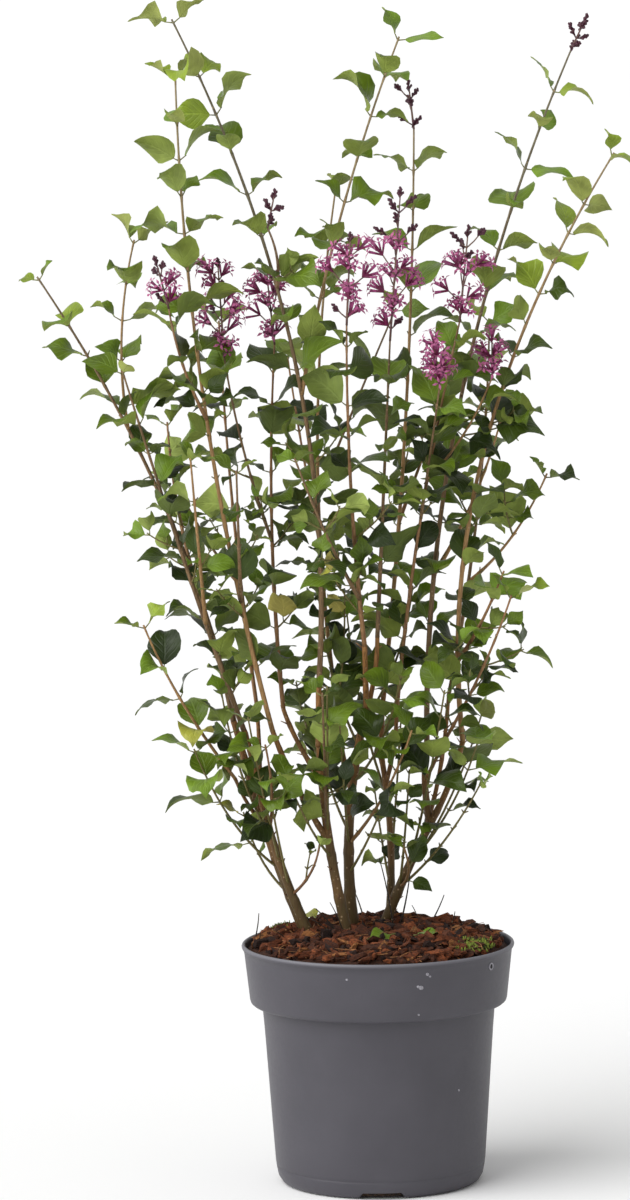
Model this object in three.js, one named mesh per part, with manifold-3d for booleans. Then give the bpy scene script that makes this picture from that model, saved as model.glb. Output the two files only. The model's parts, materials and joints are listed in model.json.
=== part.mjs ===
// A lilac in leaf and flower, in its plastic nursery pot under a layer of bark mulch.
// Millimetres, +Z up, +X to the right of the front view, which looks along +Y.
// The pot's flat underside lies on z = 0, with the origin at its middle.

import * as THREE from "three";
import { mergeVertices } from "three/addons/utils/BufferGeometryUtils.js";
import Module from "manifold-3d";

const wasm = await Module();
wasm.setup();

// ---- Driving dimensions -------------------------------------------------------------------

// Clear gap between neighbouring pieces
const gap = 0.3;

// Edges shorter than this are merged where pieces are joined
const sliver = 0.02;

// Pot: a tapering body with a bevelled foot, and a wider collar band under the rim
const potHeight = 203;
const rimRadius = 115;
const rimLip = 3;
const bandTopRadius = 113.5;
const bandFootRadius = 108.5;
const bandHeight = 51;
const bodyTopRadius = 98.5;
const bodyFootRadius = 88.5;
const bevelHeight = 14;
const footRadius = 83.5;
const potWall = 1.8;
const potSides = 32;
const edgeRadius = 3;

// Drain slots through the foot of the wall
const slotCount = 4;
const slotWidth = 38;
const slotHeight = 5;
const slotSlope = 4;
const slotDepth = 18;

// Filling: compost up to a level surface, bark mulch heaped over it
const compostLevel = 188;
const mulchEdge = 196;
const mulchMiddle = 212;
const mulchBump = 4;
const lumpWidth = 3.4;
const lumpLength = 6;
const mulchRings = 4;

// Limbs
const stemSides = 6;
const boughSides = 5;
const shootSides = 3;
const twigSides = 3;
const stemStep = 24;
const limbStep = 32;
const shootStep = 42;
const flare = 2.6;
const flareHeight = 16;

// Leaves, stalk included: where the widest place lies, and the half width there, as shares
const leafLength = 49;
const leafWide = 0.45;
const leafHalfWidth = 0.33;
const leafThickness = 0.03;
const leafDroop = 0.3;
const leafOffset = 0.25;

// How leaves open from their shoot, in degrees from its tip: [least, most]
const leafOpen = [52, 92];
const tipLeafOpen = [30, 46];
const leafRoll = [-35, 35];
const pairTurn = 90;
const pairSpread = [-20, 20];

// Turns tried in degrees until a leaf stands clear, and the lift that goes with each degree
const leafTries = [0, 18, -18, 36, -36];
const liftShare = 0.4;

// Shares of the usual leaf size and droop: [least, most]
const sizeSpread = [0.82, 1.14];
const droopSpread = [0.4, 1.6];

// Leaves shrink from here to the tip, and pairs stand farther apart towards it
const youngFrom = 0.72;
const youngSize = 0.58;
const pairStretch = [0.8, 1.3];

// The steepest that a leaf points down, as the sine of the angle
const steepestHang = 0.35;

// Shoots thin to their tips, and a side shoot is a little thinner than what it leaves
const shootTipRadius = 1.3;
const branchTaper = 0.85;

// Side twigs in the leaf axils
const twigRadius = 1.43;
const twigTipRadius = 1.04;
const twigLength = [35, 65];
const twigLean = 0.7;
const twigLeafGap = 26;
const twigLeavesFrom = 0.42;
const twigBow = 0.06;
const twigsUpTo = 0.55;

// Leaves start here along the side shoots of a mass
const sideLeavesFrom = 0.12;

// Flower heads: rings of sprays on a stalk, which grow shorter towards its tip
const stalkRadius = 1.2;
const stalkTipRadius = 0.72;
const headFrom = 0.2;
const sprayGap = 22;
const spraysPerRing = 3;
const sprayRadius = 10;
const sprayShare = 0.4;
const sprayWaist = 0.68;
const sprayReach = [1.05, 0.43];
const sprayTurn = 0.4;
const sprayLift = [0.25, 0.6];
const sprayLength = [0.85, 1.15];
const tipSprayFrom = 0.86;
const tipSprayRadius = 3;

// ---- Limbs: the stems stand on the compost and the boughs leave them -------------------------

// foot: where a stem stands. on and at: the limb that a bough leaves, and where along it.
// tip: the end. bow: how far the middle stands off the straight line. radius: at each end.
const limbs = {
  left_outer_stem: { foot: [-52, 16], tip: [-105, 14, 340], bow: [-4, 0, 0], radius: [5.6, 4.1] },
  left_stem: { foot: [-47, -4], tip: [-97, -9, 330], bow: [-5, 0, 0], radius: [5.6, 4] },
  centre_stem: { foot: [-20, -4], tip: [-47, -4, 370], bow: [-5, 0, 0], radius: [6, 4] },
  thick_stem: { foot: [-17, 27], tip: [-7, 9, 400], bow: [-11, 0, 0], radius: [6.6, 4.4] },
  right_stem: { foot: [-1, 45], tip: [46, 30, 298], bow: [-3, 0, 0], radius: [6, 4.6] },
  back_stem: { foot: [8, 70], tip: [6, 64, 350], bow: [6, 0, 0], radius: [4.2, 3.3] },
  left_outer_bough: {
    on: "left_outer_stem", at: 1, tip: [-119, 15, 390], bow: [0, 0, 0], radius: [4.1, 3.6],
  },
  low_left_bough: {
    on: "left_outer_stem", at: 0.74, tip: [-118, -6, 344], bow: [-2, -4, 0], radius: [2.4, 2],
  },
  back_left_bough: {
    on: "left_outer_stem", at: 0.86, tip: [-100, 54, 400], bow: [2, 4, -8], radius: [3, 2.3],
  },
  left_bough: { on: "left_stem", at: 1, tip: [-110, -10, 385], bow: [1, 0, 0], radius: [4, 3.4] },
  fan_bough: { on: "centre_stem", at: 0.55, tip: [-86, -15, 385], bow: [-3, -2, 0], radius: [3.6, 3] },
  inner_bough: { on: "centre_stem", at: 0.84, tip: [-77, 16, 400], bow: [-3, 3, 0], radius: [3.2, 2.6] },
  centre_bough: { on: "centre_stem", at: 1, tip: [-47, -3, 420], bow: [0, 0, 0], radius: [4, 3.5] },
  front_bough: { on: "thick_stem", at: 1, tip: [-8, -8, 455], bow: [0, 0, 0], radius: [3.4, 2.9] },
  middle_bough: { on: "thick_stem", at: 0.95, tip: [3, 12, 460], bow: [3, 1, 0], radius: [3, 2.6] },
  rear_bough: { on: "thick_stem", at: 0.66, tip: [-32, 56, 400], bow: [-2, 8, 0], radius: [3, 2.5] },
  back_bough: { on: "back_stem", at: 1, tip: [9, 66, 410], bow: [-1, 0, 0], radius: [3.3, 2.8] },
  front_right_bough: {
    on: "back_stem", at: 0.86, tip: [19, 34, 395], bow: [2, 0, 0], radius: [2.6, 2.3],
  },
  right_bough: { on: "right_stem", at: 1, tip: [44, 33, 365], bow: [-3, 0, 0], radius: [4.3, 3.4] },
  right_outer_bough: {
    on: "right_stem", at: 0.95, tip: [74, 18, 370], bow: [3, -1, 0], radius: [4, 3.2],
  },
  low_right_bough: {
    on: "right_bough", at: 0.55, tip: [58, 4, 372], bow: [0, -4, 0], radius: [2.2, 1.9],
  },
  back_right_bough: {
    on: "right_stem", at: 0.8, tip: [64, 84, 400], bow: [4, 6, -10], radius: [3, 2.3],
  },
};

// ---- Masses of foliage: each grows on from a bough's tip --------------------------------------

// shoots: the first is the mass's stem, and the others leave it at their own place.
// from: where the leaves start along the stem. pair: spacing of the leaf pairs.
// size: of the leaves. twigs: share of leaf pairs with a side twig. turn: of the first pair.
const masses = {
  outer_left_foliage: {
    on: "left_outer_bough", radius: 3.2, from: 0.05, pair: 33, size: 1, twigs: 0.09, turn: 20, seed: 11,
    shoots: [
      { tip: [-276, -14, 768], bow: [22, 0, 0] },
      { at: 0.66, tip: [-196, 24, 796], bow: [-8, 0, 0] },
      { at: 0.3, tip: [-172, 62, 640], bow: [-4, 0, 0] },
    ],
  },
  low_left_foliage: {
    on: "low_left_bough", radius: 2, from: 0.04, pair: 30, size: 1.1, twigs: 0.09, turn: 10, seed: 12,
    shoots: [{ tip: [-192, -34, 478], bow: [-6, 0, 0] }],
  },
  back_left_foliage: {
    on: "back_left_bough", radius: 2.3, from: 0.04, pair: 41, size: 1, twigs: 0.09, turn: 40, seed: 13,
    shoots: [
      { tip: [-128, 124, 722], bow: [-4, 12, 0] },
      { at: 0.3, tip: [-178, 96, 610], bow: [0, 8, -10] },
    ],
  },
  left_foliage: {
    on: "left_bough", radius: 3, from: 0.04, pair: 30, size: 1, twigs: 0.09, turn: 60, seed: 14,
    shoots: [
      { tip: [-206, -30, 690], bow: [-2, 0, 0] },
      { at: 0.3, tip: [-150, -66, 620], bow: [0, -6, 0] },
    ],
  },
  fan_foliage: {
    on: "fan_bough", radius: 2.8, from: 0.04, pair: 36, size: 1, twigs: 0.09, turn: 15, seed: 15,
    shoots: [
      { tip: [-159, 6, 932], bow: [-16, -12, 0] },
      { at: 0.48, tip: [-166, -54, 742], bow: [-4, -6, 0] },
      { at: 0.2, tip: [-112, -84, 610], bow: [0, -8, 0] },
    ],
  },
  inner_foliage: {
    on: "inner_bough", radius: 2.5, from: 0.05, pair: 32, size: 1, twigs: 0.09, turn: 75, seed: 16,
    shoots: [
      { tip: [-80, 34, 706], bow: [-6, 0, 0] },
      { at: 0.46, tip: [-122, 4, 698], bow: [-4, 0, 0] },
    ],
  },
  tall_foliage: {
    on: "centre_bough", radius: 3.1, from: 0.03, pair: 40, size: 1, twigs: 0.09, turn: 5, seed: 17,
    shoots: [
      { tip: [-163, -6, 982], bow: [40, 0, 0] },
      { at: 0.44, tip: [28, 40, 962], bow: [-8, 4, 0] },
      { at: 0.6, tip: [-84, -22, 806], bow: [4, 0, 0] },
    ],
  },
  rear_foliage: {
    on: "rear_bough", radius: 2.4, from: 0.03, pair: 43, size: 1, twigs: 0.09, turn: 50, seed: 18,
    shoots: [
      { tip: [-26, 92, 838], bow: [-16, 4, 0] },
      { at: 0.3, tip: [-70, 146, 690], bow: [0, 10, -8] },
      { at: 0.4, tip: [24, 140, 730], bow: [0, 12, 0] },
    ],
  },
  front_foliage: {
    on: "front_bough", radius: 2.6, from: 0.04, pair: 30, size: 1, twigs: 0.09, turn: 30, seed: 19,
    shoots: [
      { tip: [-20, -84, 728], bow: [-4, 0, 0] },
      { at: 0.15, tip: [-64, -92, 620], bow: [0, -8, -6] },
    ],
  },
  middle_foliage: {
    on: "middle_bough", radius: 2.5, from: 0.04, pair: 32, size: 1, twigs: 0.09, turn: 65, seed: 20,
    shoots: [{ tip: [16, -38, 712], bow: [0, 0, 0] }],
  },
  back_foliage: {
    on: "back_bough", radius: 2.6, from: 0.03, pair: 40, size: 1, twigs: 0.09, turn: 25, seed: 21,
    shoots: [
      { tip: [40, 76, 884], bow: [6, 0, 0] },
      { at: 0.3, tip: [80, 124, 690], bow: [0, 10, 0] },
    ],
  },
  front_right_foliage: {
    on: "front_right_bough", radius: 2.2, from: 0.04, pair: 32, size: 1, twigs: 0.09, turn: 55, seed: 22,
    shoots: [
      { tip: [74, -26, 738], bow: [-6, 0, 0] },
      { at: 0.5, tip: [56, -66, 676], bow: [0, -4, 0] },
      { at: 0.6, tip: [101, -16, 680], bow: [4, 0, -4] },
    ],
  },
  right_foliage: {
    on: "right_bough", radius: 3.2, from: 0.03, pair: 40, size: 1, twigs: 0.09, turn: 12, seed: 23,
    shoots: [
      { tip: [170, 28, 960], bow: [-32, 0, 0] },
      { at: 0.25, tip: [112, 78, 640], bow: [4, 6, -6] },
    ],
  },
  right_outer_foliage: {
    on: "right_outer_bough", radius: 3, from: 0.04, pair: 36, size: 1, twigs: 0.09, turn: 35, seed: 24,
    shoots: [
      { tip: [200, -14, 876], bow: [-45, 0, 0] },
      { at: 0.14, tip: [108, -44, 520], bow: [0, 0, -6] },
    ],
  },
  low_right_foliage: {
    on: "low_right_bough", radius: 1.9, from: 0.04, pair: 28, size: 0.95, twigs: 0.09, turn: 0, seed: 25,
    shoots: [{ tip: [114, -46, 500], bow: [4, 0, 0] }],
  },
  back_right_foliage: {
    on: "back_right_bough", radius: 2.3, from: 0.04, pair: 41, size: 1, twigs: 0.09, turn: 45, seed: 26,
    shoots: [
      { tip: [104, 132, 720], bow: [8, 10, 0] },
      { at: 0.3, tip: [150, 84, 590], bow: [4, 6, -8] },
    ],
  },
  low_front_foliage: {
    on: "centre_stem", at: 0.62, radius: 1.9, from: 0.1, pair: 24, size: 0.95, twigs: 0.09,
    turn: 45, seed: 29,
    shoots: [{ tip: [-44, -72, 424], bow: [0, -8, -4] }],
  },
  low_middle_foliage: {
    on: "thick_stem", at: 0.45, radius: 1.8, from: 0.12, pair: 24, size: 0.95, twigs: 0.09,
    turn: 15, seed: 30,
    shoots: [{ tip: [30, -44, 388], bow: [4, -6, -4] }],
  },
  low_side_foliage: {
    on: "left_stem", at: 0.8, radius: 1.8, from: 0.14, pair: 24, size: 0.95, twigs: 0.09, turn: 30, seed: 31,
    shoots: [{ tip: [-92, -62, 380], bow: [4, -6, -4] }],
  },
  low_centre_sprig: {
    on: "right_stem", at: 0.5, radius: 1.4, from: 0.3, pair: 16, size: 0.66, twigs: 0, turn: 20, seed: 27,
    shoots: [{ tip: [22, -6, 286], bow: [6, -4, -4] }],
  },
  low_left_sprig: {
    on: "left_stem", at: 0.4, radius: 1.4, from: 0.35, pair: 16, size: 0.6, twigs: 0, turn: 70, seed: 28,
    shoots: [{ tip: [-48, -36, 292], bow: [4, -6, -2] }],
  },
};

// ---- Flower heads: each stands on the tip of one shoot of a mass -------------------------------

// shoot: the number of the shoot in its mass. lean: sideways reach of the tip. width: across the sprays.
const flowerHeads = {
  fan_side_blossom: { on: "fan_foliage", shoot: 1, length: 48, width: 26, lean: [-10, 0], seed: 41 },
  inner_side_blossom: { on: "inner_foliage", shoot: 1, length: 84, width: 44, lean: [-4, -6], seed: 42 },
  inner_blossom: { on: "inner_foliage", shoot: 0, length: 66, width: 44, lean: [-6, 0], seed: 43 },
  tall_side_buds: { on: "tall_foliage", shoot: 2, length: 32, width: 20, lean: [0, 0], seed: 44 },
  front_blossom: { on: "front_foliage", shoot: 0, length: 74, width: 38, lean: [4, -4], seed: 45 },
  middle_blossom: { on: "middle_foliage", shoot: 0, length: 92, width: 42, lean: [10, -4], seed: 46 },
  back_buds: { on: "back_foliage", shoot: 0, length: 44, width: 30, lean: [-4, 0], seed: 47 },
  front_right_blossom: { on: "front_right_foliage", shoot: 0, length: 58, width: 46, lean: [8, 0], seed: 48 },
  low_front_blossom: { on: "front_right_foliage", shoot: 1, length: 36, width: 26, lean: [-4, -4], seed: 49 },
  low_right_blossom: { on: "front_right_foliage", shoot: 2, length: 32, width: 24, lean: [0, 0], seed: 50 },
  right_tip_buds: { on: "right_foliage", shoot: 0, length: 26, width: 16, lean: [10, 0], seed: 51 },
};

// ---- Materials --------------------------------------------------------------------------------

const potPlastic = new THREE.MeshStandardMaterial({ color: 0x5f5e63, roughness: 0.45, metalness: 0 });
const compost = new THREE.MeshStandardMaterial({ color: 0x2e211a, roughness: 1, metalness: 0 });
const barkMulch = new THREE.MeshStandardMaterial({ color: 0x5a3323, roughness: 0.95, metalness: 0 });
const caneBark = new THREE.MeshStandardMaterial({ color: 0x7a6248, roughness: 0.8, metalness: 0 });
const leafGreen = new THREE.MeshStandardMaterial({ color: 0x4f7a2c, roughness: 0.55, metalness: 0 });
const blossomPurple = new THREE.MeshStandardMaterial({ color: 0xa2489a, roughness: 0.6, metalness: 0 });

// ---- Solids -------------------------------------------------------------------------------------

// A closed geometry as a solid for joining and cutting
function solidOf(geometry) {
  const bare = geometry.clone();
  bare.deleteAttribute("normal");
  bare.deleteAttribute("uv");
  const merged = mergeVertices(bare, 1e-4);
  return new wasm.Manifold(
    new wasm.Mesh({
      numProp: 3,
      vertProperties: new Float32Array(merged.attributes.position.array),
      triVerts: new Uint32Array(merged.index.array),
    }),
  );
}

// The largest body of a solid, without loose scraps, sealed hollows and needless slivers
function wholeBody(solid) {
  const bodies = solid.simplify(sliver).decompose();
  bodies.sort((a, b) => b.volume() - a.volume());
  return bodies[0];
}

function meshOf(name, solid, material) {
  const { numProp, vertProperties, triVerts } = solid.getMesh();
  const interleaved = new THREE.InterleavedBuffer(vertProperties, numProp);
  const geometry = new THREE.BufferGeometry();
  geometry.setAttribute("position", new THREE.InterleavedBufferAttribute(interleaved, 3, 0));
  geometry.setIndex(new THREE.BufferAttribute(triVerts, 1));
  const mesh = new THREE.Mesh(geometry.toNonIndexed(), material);
  mesh.name = name;
  return mesh;
}

const degrees = Math.PI / 180;

const between = ([least, most], share) => least + (most - least) * share;

// Numbers from 0 to 1 in a fixed order for each seed
function makeRandom(seed) {
  let state = (seed * 7919 + 12345) % 4294967296;
  const next = () => {
    state = (state * 1664525 + 1013904223) % 4294967296;
    return state / 4294967296;
  };
  next();
  next();
  return next;
}

// ---- Pot and filling ------------------------------------------------------------------------------

function lathe(profile, sides) {
  const points = profile.map(([radius, height]) => new THREE.Vector2(radius, height));
  const geometry = new THREE.LatheGeometry(points, sides);
  return geometry.rotateX(Math.PI / 2);
}

// The outer outline from the foot to the rim, moved in by a distance
function potOutline(inset, floor, top) {
  const bandFoot = potHeight - bandHeight + inset;
  return [
    [footRadius - inset, floor],
    [bodyFootRadius - inset, bevelHeight],
    [bodyTopRadius - inset, bandFoot],
    [bandFootRadius - edgeRadius - inset, bandFoot],
    [bandFootRadius - inset, bandFoot + edgeRadius],
    [bandTopRadius - inset, top],
  ];
}

function drainSlot(turn) {
  const shape = new THREE.Shape();
  shape.moveTo(-slotWidth / 2, -gap);
  shape.lineTo(slotWidth / 2, -gap);
  shape.lineTo(slotWidth / 2 - slotSlope, slotHeight);
  shape.lineTo(slotSlope - slotWidth / 2, slotHeight);
  shape.closePath();
  const slot = new THREE.ExtrudeGeometry(shape, { depth: slotDepth, bevelEnabled: false });
  slot.rotateX(Math.PI / 2);
  slot.translate(0, -footRadius + slotDepth / 2, 0);
  slot.rotateZ(turn);
  return solidOf(slot);
}

function makePot() {
  const outside = [[0, 0], ...potOutline(0, 0, potHeight - rimLip)];
  const rim = [[rimRadius, potHeight - rimLip + 0.5], [rimRadius, potHeight]];
  const inside = [...potOutline(potWall, potWall, potHeight).reverse(), [0, potWall]];
  let pot = solidOf(lathe([...outside, ...rim, ...inside], potSides));
  for (let i = 0; i < slotCount; i++) {
    pot = pot.subtract(drainSlot((i * 2 * Math.PI) / slotCount));
  }
  return wholeBody(pot);
}

// The radius inside the band at a height, clear of the wall
function fillingRadius(height) {
  const slope = (bandTopRadius - bandFootRadius) / bandHeight;
  return bandTopRadius - potWall - gap - slope * (potHeight - height);
}

function makeRootBall() {
  const inset = potWall + gap;
  const side = potOutline(inset, inset, compostLevel).slice(0, -1);
  const top = [fillingRadius(compostLevel), compostLevel];
  return solidOf(lathe([[0, inset], ...side, top, [0, compostLevel]], potSides));
}

// A heaped disc whose top is uneven, as loose bark lies
function makeMulch() {
  const bottom = compostLevel + gap;
  const edge = fillingRadius(bottom);
  const profile = [[0, bottom], [edge, bottom], [edge, mulchEdge]];
  for (let i = mulchRings - 1; i >= 0; i--) {
    const share = i / mulchRings;
    const height = mulchEdge + (mulchMiddle - mulchEdge) * Math.sqrt(1 - share * share);
    profile.push([edge * share, height]);
  }
  const geometry = lathe(profile, potSides);
  const place = geometry.attributes.position;
  for (let i = 0; i < place.count; i++) {
    const x = place.getX(i);
    const y = place.getY(i);
    const z = place.getZ(i);
    if (z > mulchEdge + gap) {
      const wave = Math.sin(x / lumpWidth + Math.sin(y / lumpLength)) * Math.cos(y / lumpWidth);
      place.setZ(i, z + mulchBump * wave);
    }
  }
  return solidOf(geometry);
}

// ---- Limbs ----------------------------------------------------------------------------------------

function bowedCurve(start, tip, bow) {
  const control = start.clone().add(tip).multiplyScalar(0.5).addScaledVector(bow, 2);
  return new THREE.QuadraticBezierCurve3(start, control, tip);
}

// Two directions across a curve at t, from one reference that suits the whole curve
function acrossAt(curve, t) {
  const chord = curve.v2.clone().sub(curve.v0).normalize();
  const reference = Math.abs(chord.y) < 0.8 ? new THREE.Vector3(0, 1, 0) : new THREE.Vector3(1, 0, 0);
  const along = curve.getTangent(t);
  const side = along.clone().cross(reference).normalize();
  const front = side.clone().cross(along);
  return { along, side, front };
}

// A closed tube along a curve with a radius for each place, its foot cut level where asked
function tube(curve, radiusAt, sides, steps, level) {
  const geometry = new THREE.CylinderGeometry(1, 1, 1, sides, steps);
  const place = geometry.attributes.position;
  const point = new THREE.Vector3();
  for (let i = 0; i < place.count; i++) {
    const t = Math.round((place.getY(i) + 0.5) * steps) / steps;
    const { along, side, front } = acrossAt(curve, t);
    curve.getPoint(t, point);
    const radius = radiusAt(t);
    point.addScaledVector(side, place.getX(i) * radius);
    point.addScaledVector(front, place.getZ(i) * radius);
    if (t === 0 && level !== undefined) {
      point.addScaledVector(along, (level - point.z) / along.z);
    }
    place.setXYZ(i, point.x, point.y, point.z);
  }
  return solidOf(geometry);
}

// A point on the straight stretches between a tube's rings, which lies inside every facet
function pointInTube(curve, steps, t) {
  const ring = Math.min(steps - 1, Math.floor(t * steps));
  const start = curve.getPoint(ring / steps);
  return start.lerp(curve.getPoint((ring + 1) / steps), t * steps - ring);
}

// The tube grown by the gap all round, at its tip and below its foot, which neighbours are cut by
function keepOutTube(curve, radiusAt, sides, steps, level) {
  const longer = curve.clone();
  longer.v2.addScaledVector(curve.getTangent(1), gap);
  const grow = gap / Math.cos(Math.PI / sides);
  const below = level === undefined ? undefined : level - 2 * gap;
  return tube(longer, (t) => radiusAt(t) + grow, sides, steps, below);
}

// A limb's solid, with the larger one that keeps its neighbours clear
function makeLimb(curve, [thick, thin], sides, level, hasFlare) {
  const length = curve.getLength();
  const steps = Math.max(2, Math.round(length / (hasFlare ? stemStep : limbStep)));
  const radiusAt = (t) => {
    const taper = between([thick, thin], t);
    return hasFlare ? taper + flare * Math.exp((-t * length) / flareHeight) : taper;
  };
  const solid = tube(curve, radiusAt, sides, steps, level);
  const keepOut = keepOutTube(curve, radiusAt, sides, steps, level);
  return { curve, solid, keepOut };
}

const vector = (numbers) => new THREE.Vector3(...numbers);

function growLimbs() {
  const grown = {};
  for (const [name, plan] of Object.entries(limbs)) {
    const tip = vector(plan.tip);
    const bow = vector(plan.bow);
    if (plan.foot) {
      const foot = new THREE.Vector3(...plan.foot, compostLevel + gap);
      grown[name] = makeLimb(bowedCurve(foot, tip, bow), plan.radius, stemSides, foot.z, true);
    } else {
      const parent = grown[plan.on];
      const start = parent.curve.getPoint(plan.at);
      grown[name] = makeLimb(bowedCurve(start, tip, bow), plan.radius, boughSides);
      for (const other of Object.values(grown)) {
        if (other !== grown[name]) {
          grown[name].solid = wholeBody(grown[name].solid.subtract(other.keepOut));
        }
      }
    }
  }
  return grown;
}

// ---- What is placed so far, so that twigs and leaves keep clear -------------------------------------

const placed = [];

function place(node, solid, family) {
  placed.push({ node, solid, family, box: solid.boundingBox() });
}

function boxesMeet(a, b) {
  return [0, 1, 2].every((i) => a.min[i] <= b.max[i] && b.min[i] <= a.max[i]);
}

// True where a piece touches nothing but its own family, such as the twig that it grows on
function isClear(solid, family) {
  const box = solid.boundingBox();
  return placed.every(
    (other) =>
      family.includes(other.family) ||
      !boxesMeet(box, other.box) ||
      solid.intersect(other.solid).isEmpty(),
  );
}

// ---- Leaves -----------------------------------------------------------------------------------------

// One thin leaf: stalk end, two sides and tip, and the midrib below them.
// It bends down across its widest place, so the tip hangs.
function leafSolid({ root, along, up, length, droop }, swell = 0) {
  const across = up.clone().cross(along).normalize();
  const spot = (forward, sideways, lift) =>
    root
      .clone()
      .addScaledVector(along, forward * length)
      .addScaledVector(across, sideways)
      .addScaledVector(up, lift - droop * length * forward * forward);
  const half = leafHalfWidth * length + swell;
  const points = [
    spot(0, 0, 0),
    spot(leafWide, -half, swell),
    spot(1, 0, 0),
    spot(leafWide, half, swell),
    spot(leafWide, 0, -leafThickness * length - swell),
  ];
  const [stalk, left, tip, right, rib] = [0, 1, 2, 3, 4];
  const upper = [stalk, left, right, left, tip, right];
  const lower = [stalk, rib, left, left, rib, tip, tip, rib, right, right, rib, stalk];
  const geometry = new THREE.BufferGeometry();
  geometry.setAttribute("position", new THREE.Float32BufferAttribute(points.flatMap((p) => p.toArray()), 3));
  geometry.setIndex([...upper, ...lower]);
  return solidOf(geometry);
}

// The direction and the upper side of a leaf that opens from a shoot
function leafPose(shoot, t, turn, open, roll) {
  const { along, side, front } = acrossAt(shoot.curve, t);
  const outward = side.clone().multiplyScalar(Math.cos(turn)).addScaledVector(front, Math.sin(turn));
  const leafAlong = outward
    .clone()
    .multiplyScalar(Math.sin(open))
    .addScaledVector(along, Math.cos(open));
  leafAlong.z = Math.max(leafAlong.z, -steepestHang);
  leafAlong.normalize();
  const skyward = along.clone().multiplyScalar(0.5).add(new THREE.Vector3(0, 0, 1));
  const up = skyward.addScaledVector(leafAlong, -skyward.dot(leafAlong)).normalize();
  up.applyAxisAngle(leafAlong, roll);
  return { along: leafAlong, up };
}

// Adds a leaf unless it would touch something: small turns are tried first, each with a lift
function addLeaf(mass, shoot, t, { turn, open, roll, length, droop, offset }, family) {
  for (const extra of leafTries) {
    const lift = Math.abs(extra) * liftShare;
    const pose = leafPose(shoot, t, turn + extra * degrees, open - lift * degrees, roll);
    const root = shoot.pointAt(t).addScaledVector(pose.up, offset);
    const leaf = { root, ...pose, length, droop };
    if (isClear(leafSolid(leaf, gap), [shoot.family, family])) {
      const solid = leafSolid(leaf);
      place(mass.name, solid, family);
      mass.pieces.push(solid);
      return;
    }
  }
}

// ---- Masses -----------------------------------------------------------------------------------------

function makeShoot(family, curve, thick, thin, sides) {
  const steps = Math.max(2, Math.round(curve.getLength() / shootStep));
  const radiusAt = (t) => between([thick, thin], t);
  const shoot = { curve, radiusAt, family, pointAt: (t) => pointInTube(curve, steps, t) };
  shoot.solid = tube(curve, radiusAt, sides, steps);
  shoot.keepOut = keepOutTube(curve, radiusAt, sides, steps);
  return shoot;
}

// Lays the shoots of a mass: the stem grows on from its bough and carries the others
function layShoots(name, plan, grown) {
  const mass = { name, plan, shoots: [], pieces: [], bough: grown[plan.on] };
  plan.shoots.forEach((shootPlan, i) => {
    const first = i === 0;
    const carrier = first ? mass.bough.curve : mass.shoots[0].curve;
    const at = first ? (plan.at ?? 1) : shootPlan.at;
    const start = first ? carrier.getPoint(at) : mass.shoots[0].pointAt(at);
    const thick = first ? plan.radius : mass.shoots[0].radiusAt(at) * branchTaper;
    const curve = bowedCurve(start, vector(shootPlan.tip), vector(shootPlan.bow));
    const shoot = makeShoot(`${name}/${i}`, curve, thick, shootTipRadius, shootSides);
    mass.shoots.push(shoot);
    mass.pieces.push(shoot.solid);
    place(name, shoot.keepOut, shoot.family);
  });
  return mass;
}

// Leaf size along a shoot: full along most of it, small at a young tip
const sizeAlong = (t) => between([1, youngSize], Math.max(0, (t - youngFrom) / (1 - youngFrom)));

// Where the leaf pairs sit along a shoot: farther apart towards the tip, the last at the tip
function pairPlaces(length, from, pair, endsInFlower) {
  const places = [];
  let t = from;
  while (t < 1) {
    places.push(t);
    t += (pair * between(pairStretch, t)) / length;
  }
  if (endsInFlower) {
    return places.filter((place) => (1 - place) * length > pair * 0.4);
  }
  places[places.length - 1] = 1 - 3 / length;
  return places;
}

// Opposite pairs of leaves along a shoot, each pair a quarter turn from the last, with short
// side twigs in some axils
function leafShoot(mass, shoot, number, { from, pair, hasTwigs, endsInFlower }) {
  const { plan } = mass;
  const places = pairPlaces(shoot.curve.getLength(), from, pair, endsInFlower);
  places.forEach((t, i) => {
    const random = makeRandom(plan.seed * 1000 + number * 40 + i);
    const isTip = !endsInFlower && i === places.length - 1;
    const family = `${shoot.family}:${i}`;
    const turn = plan.turn + pairTurn * i + between(pairSpread, random());
    for (const [opposite, offset] of [[0, leafOffset], [180, -leafOffset]]) {
      const pose = {
        turn: (turn + opposite) * degrees,
        open: between(isTip ? tipLeafOpen : leafOpen, random()) * degrees,
        roll: between(leafRoll, random()) * degrees,
        length: leafLength * plan.size * sizeAlong(t) * between(sizeSpread, random()),
        droop: leafDroop * between(droopSpread, random()),
        offset,
      };
      addLeaf(mass, shoot, t, pose, family);
    }
    if (hasTwigs && t < twigsUpTo && random() < plan.twigs) {
      addTwig(mass, shoot, number, i, t, turn * degrees, random);
    }
  });
}

function addTwig(mass, shoot, number, i, t, turn, random) {
  const { along, side, front } = acrossAt(shoot.curve, t);
  const length = between(twigLength, random());
  const outward = side.clone().multiplyScalar(Math.cos(turn)).addScaledVector(front, Math.sin(turn));
  const start = shoot.pointAt(t);
  const reach = outward.clone().add(along).multiplyScalar(length * twigLean);
  const bow = outward.clone().multiplyScalar(length * twigBow);
  const curve = bowedCurve(start, start.clone().add(reach), bow);
  const twig = makeShoot(`${shoot.family}.${i}`, curve, twigRadius, twigTipRadius, twigSides);
  if (isClear(twig.keepOut, [shoot.family, `${shoot.family}:${i}`])) {
    place(mass.name, twig.keepOut, twig.family);
    mass.pieces.push(twig.solid);
    leafShoot(mass, twig, (number + 1) * 7 + i, { from: twigLeavesFrom, pair: twigLeafGap });
  }
}

// ---- Flower heads -----------------------------------------------------------------------------------

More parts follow.
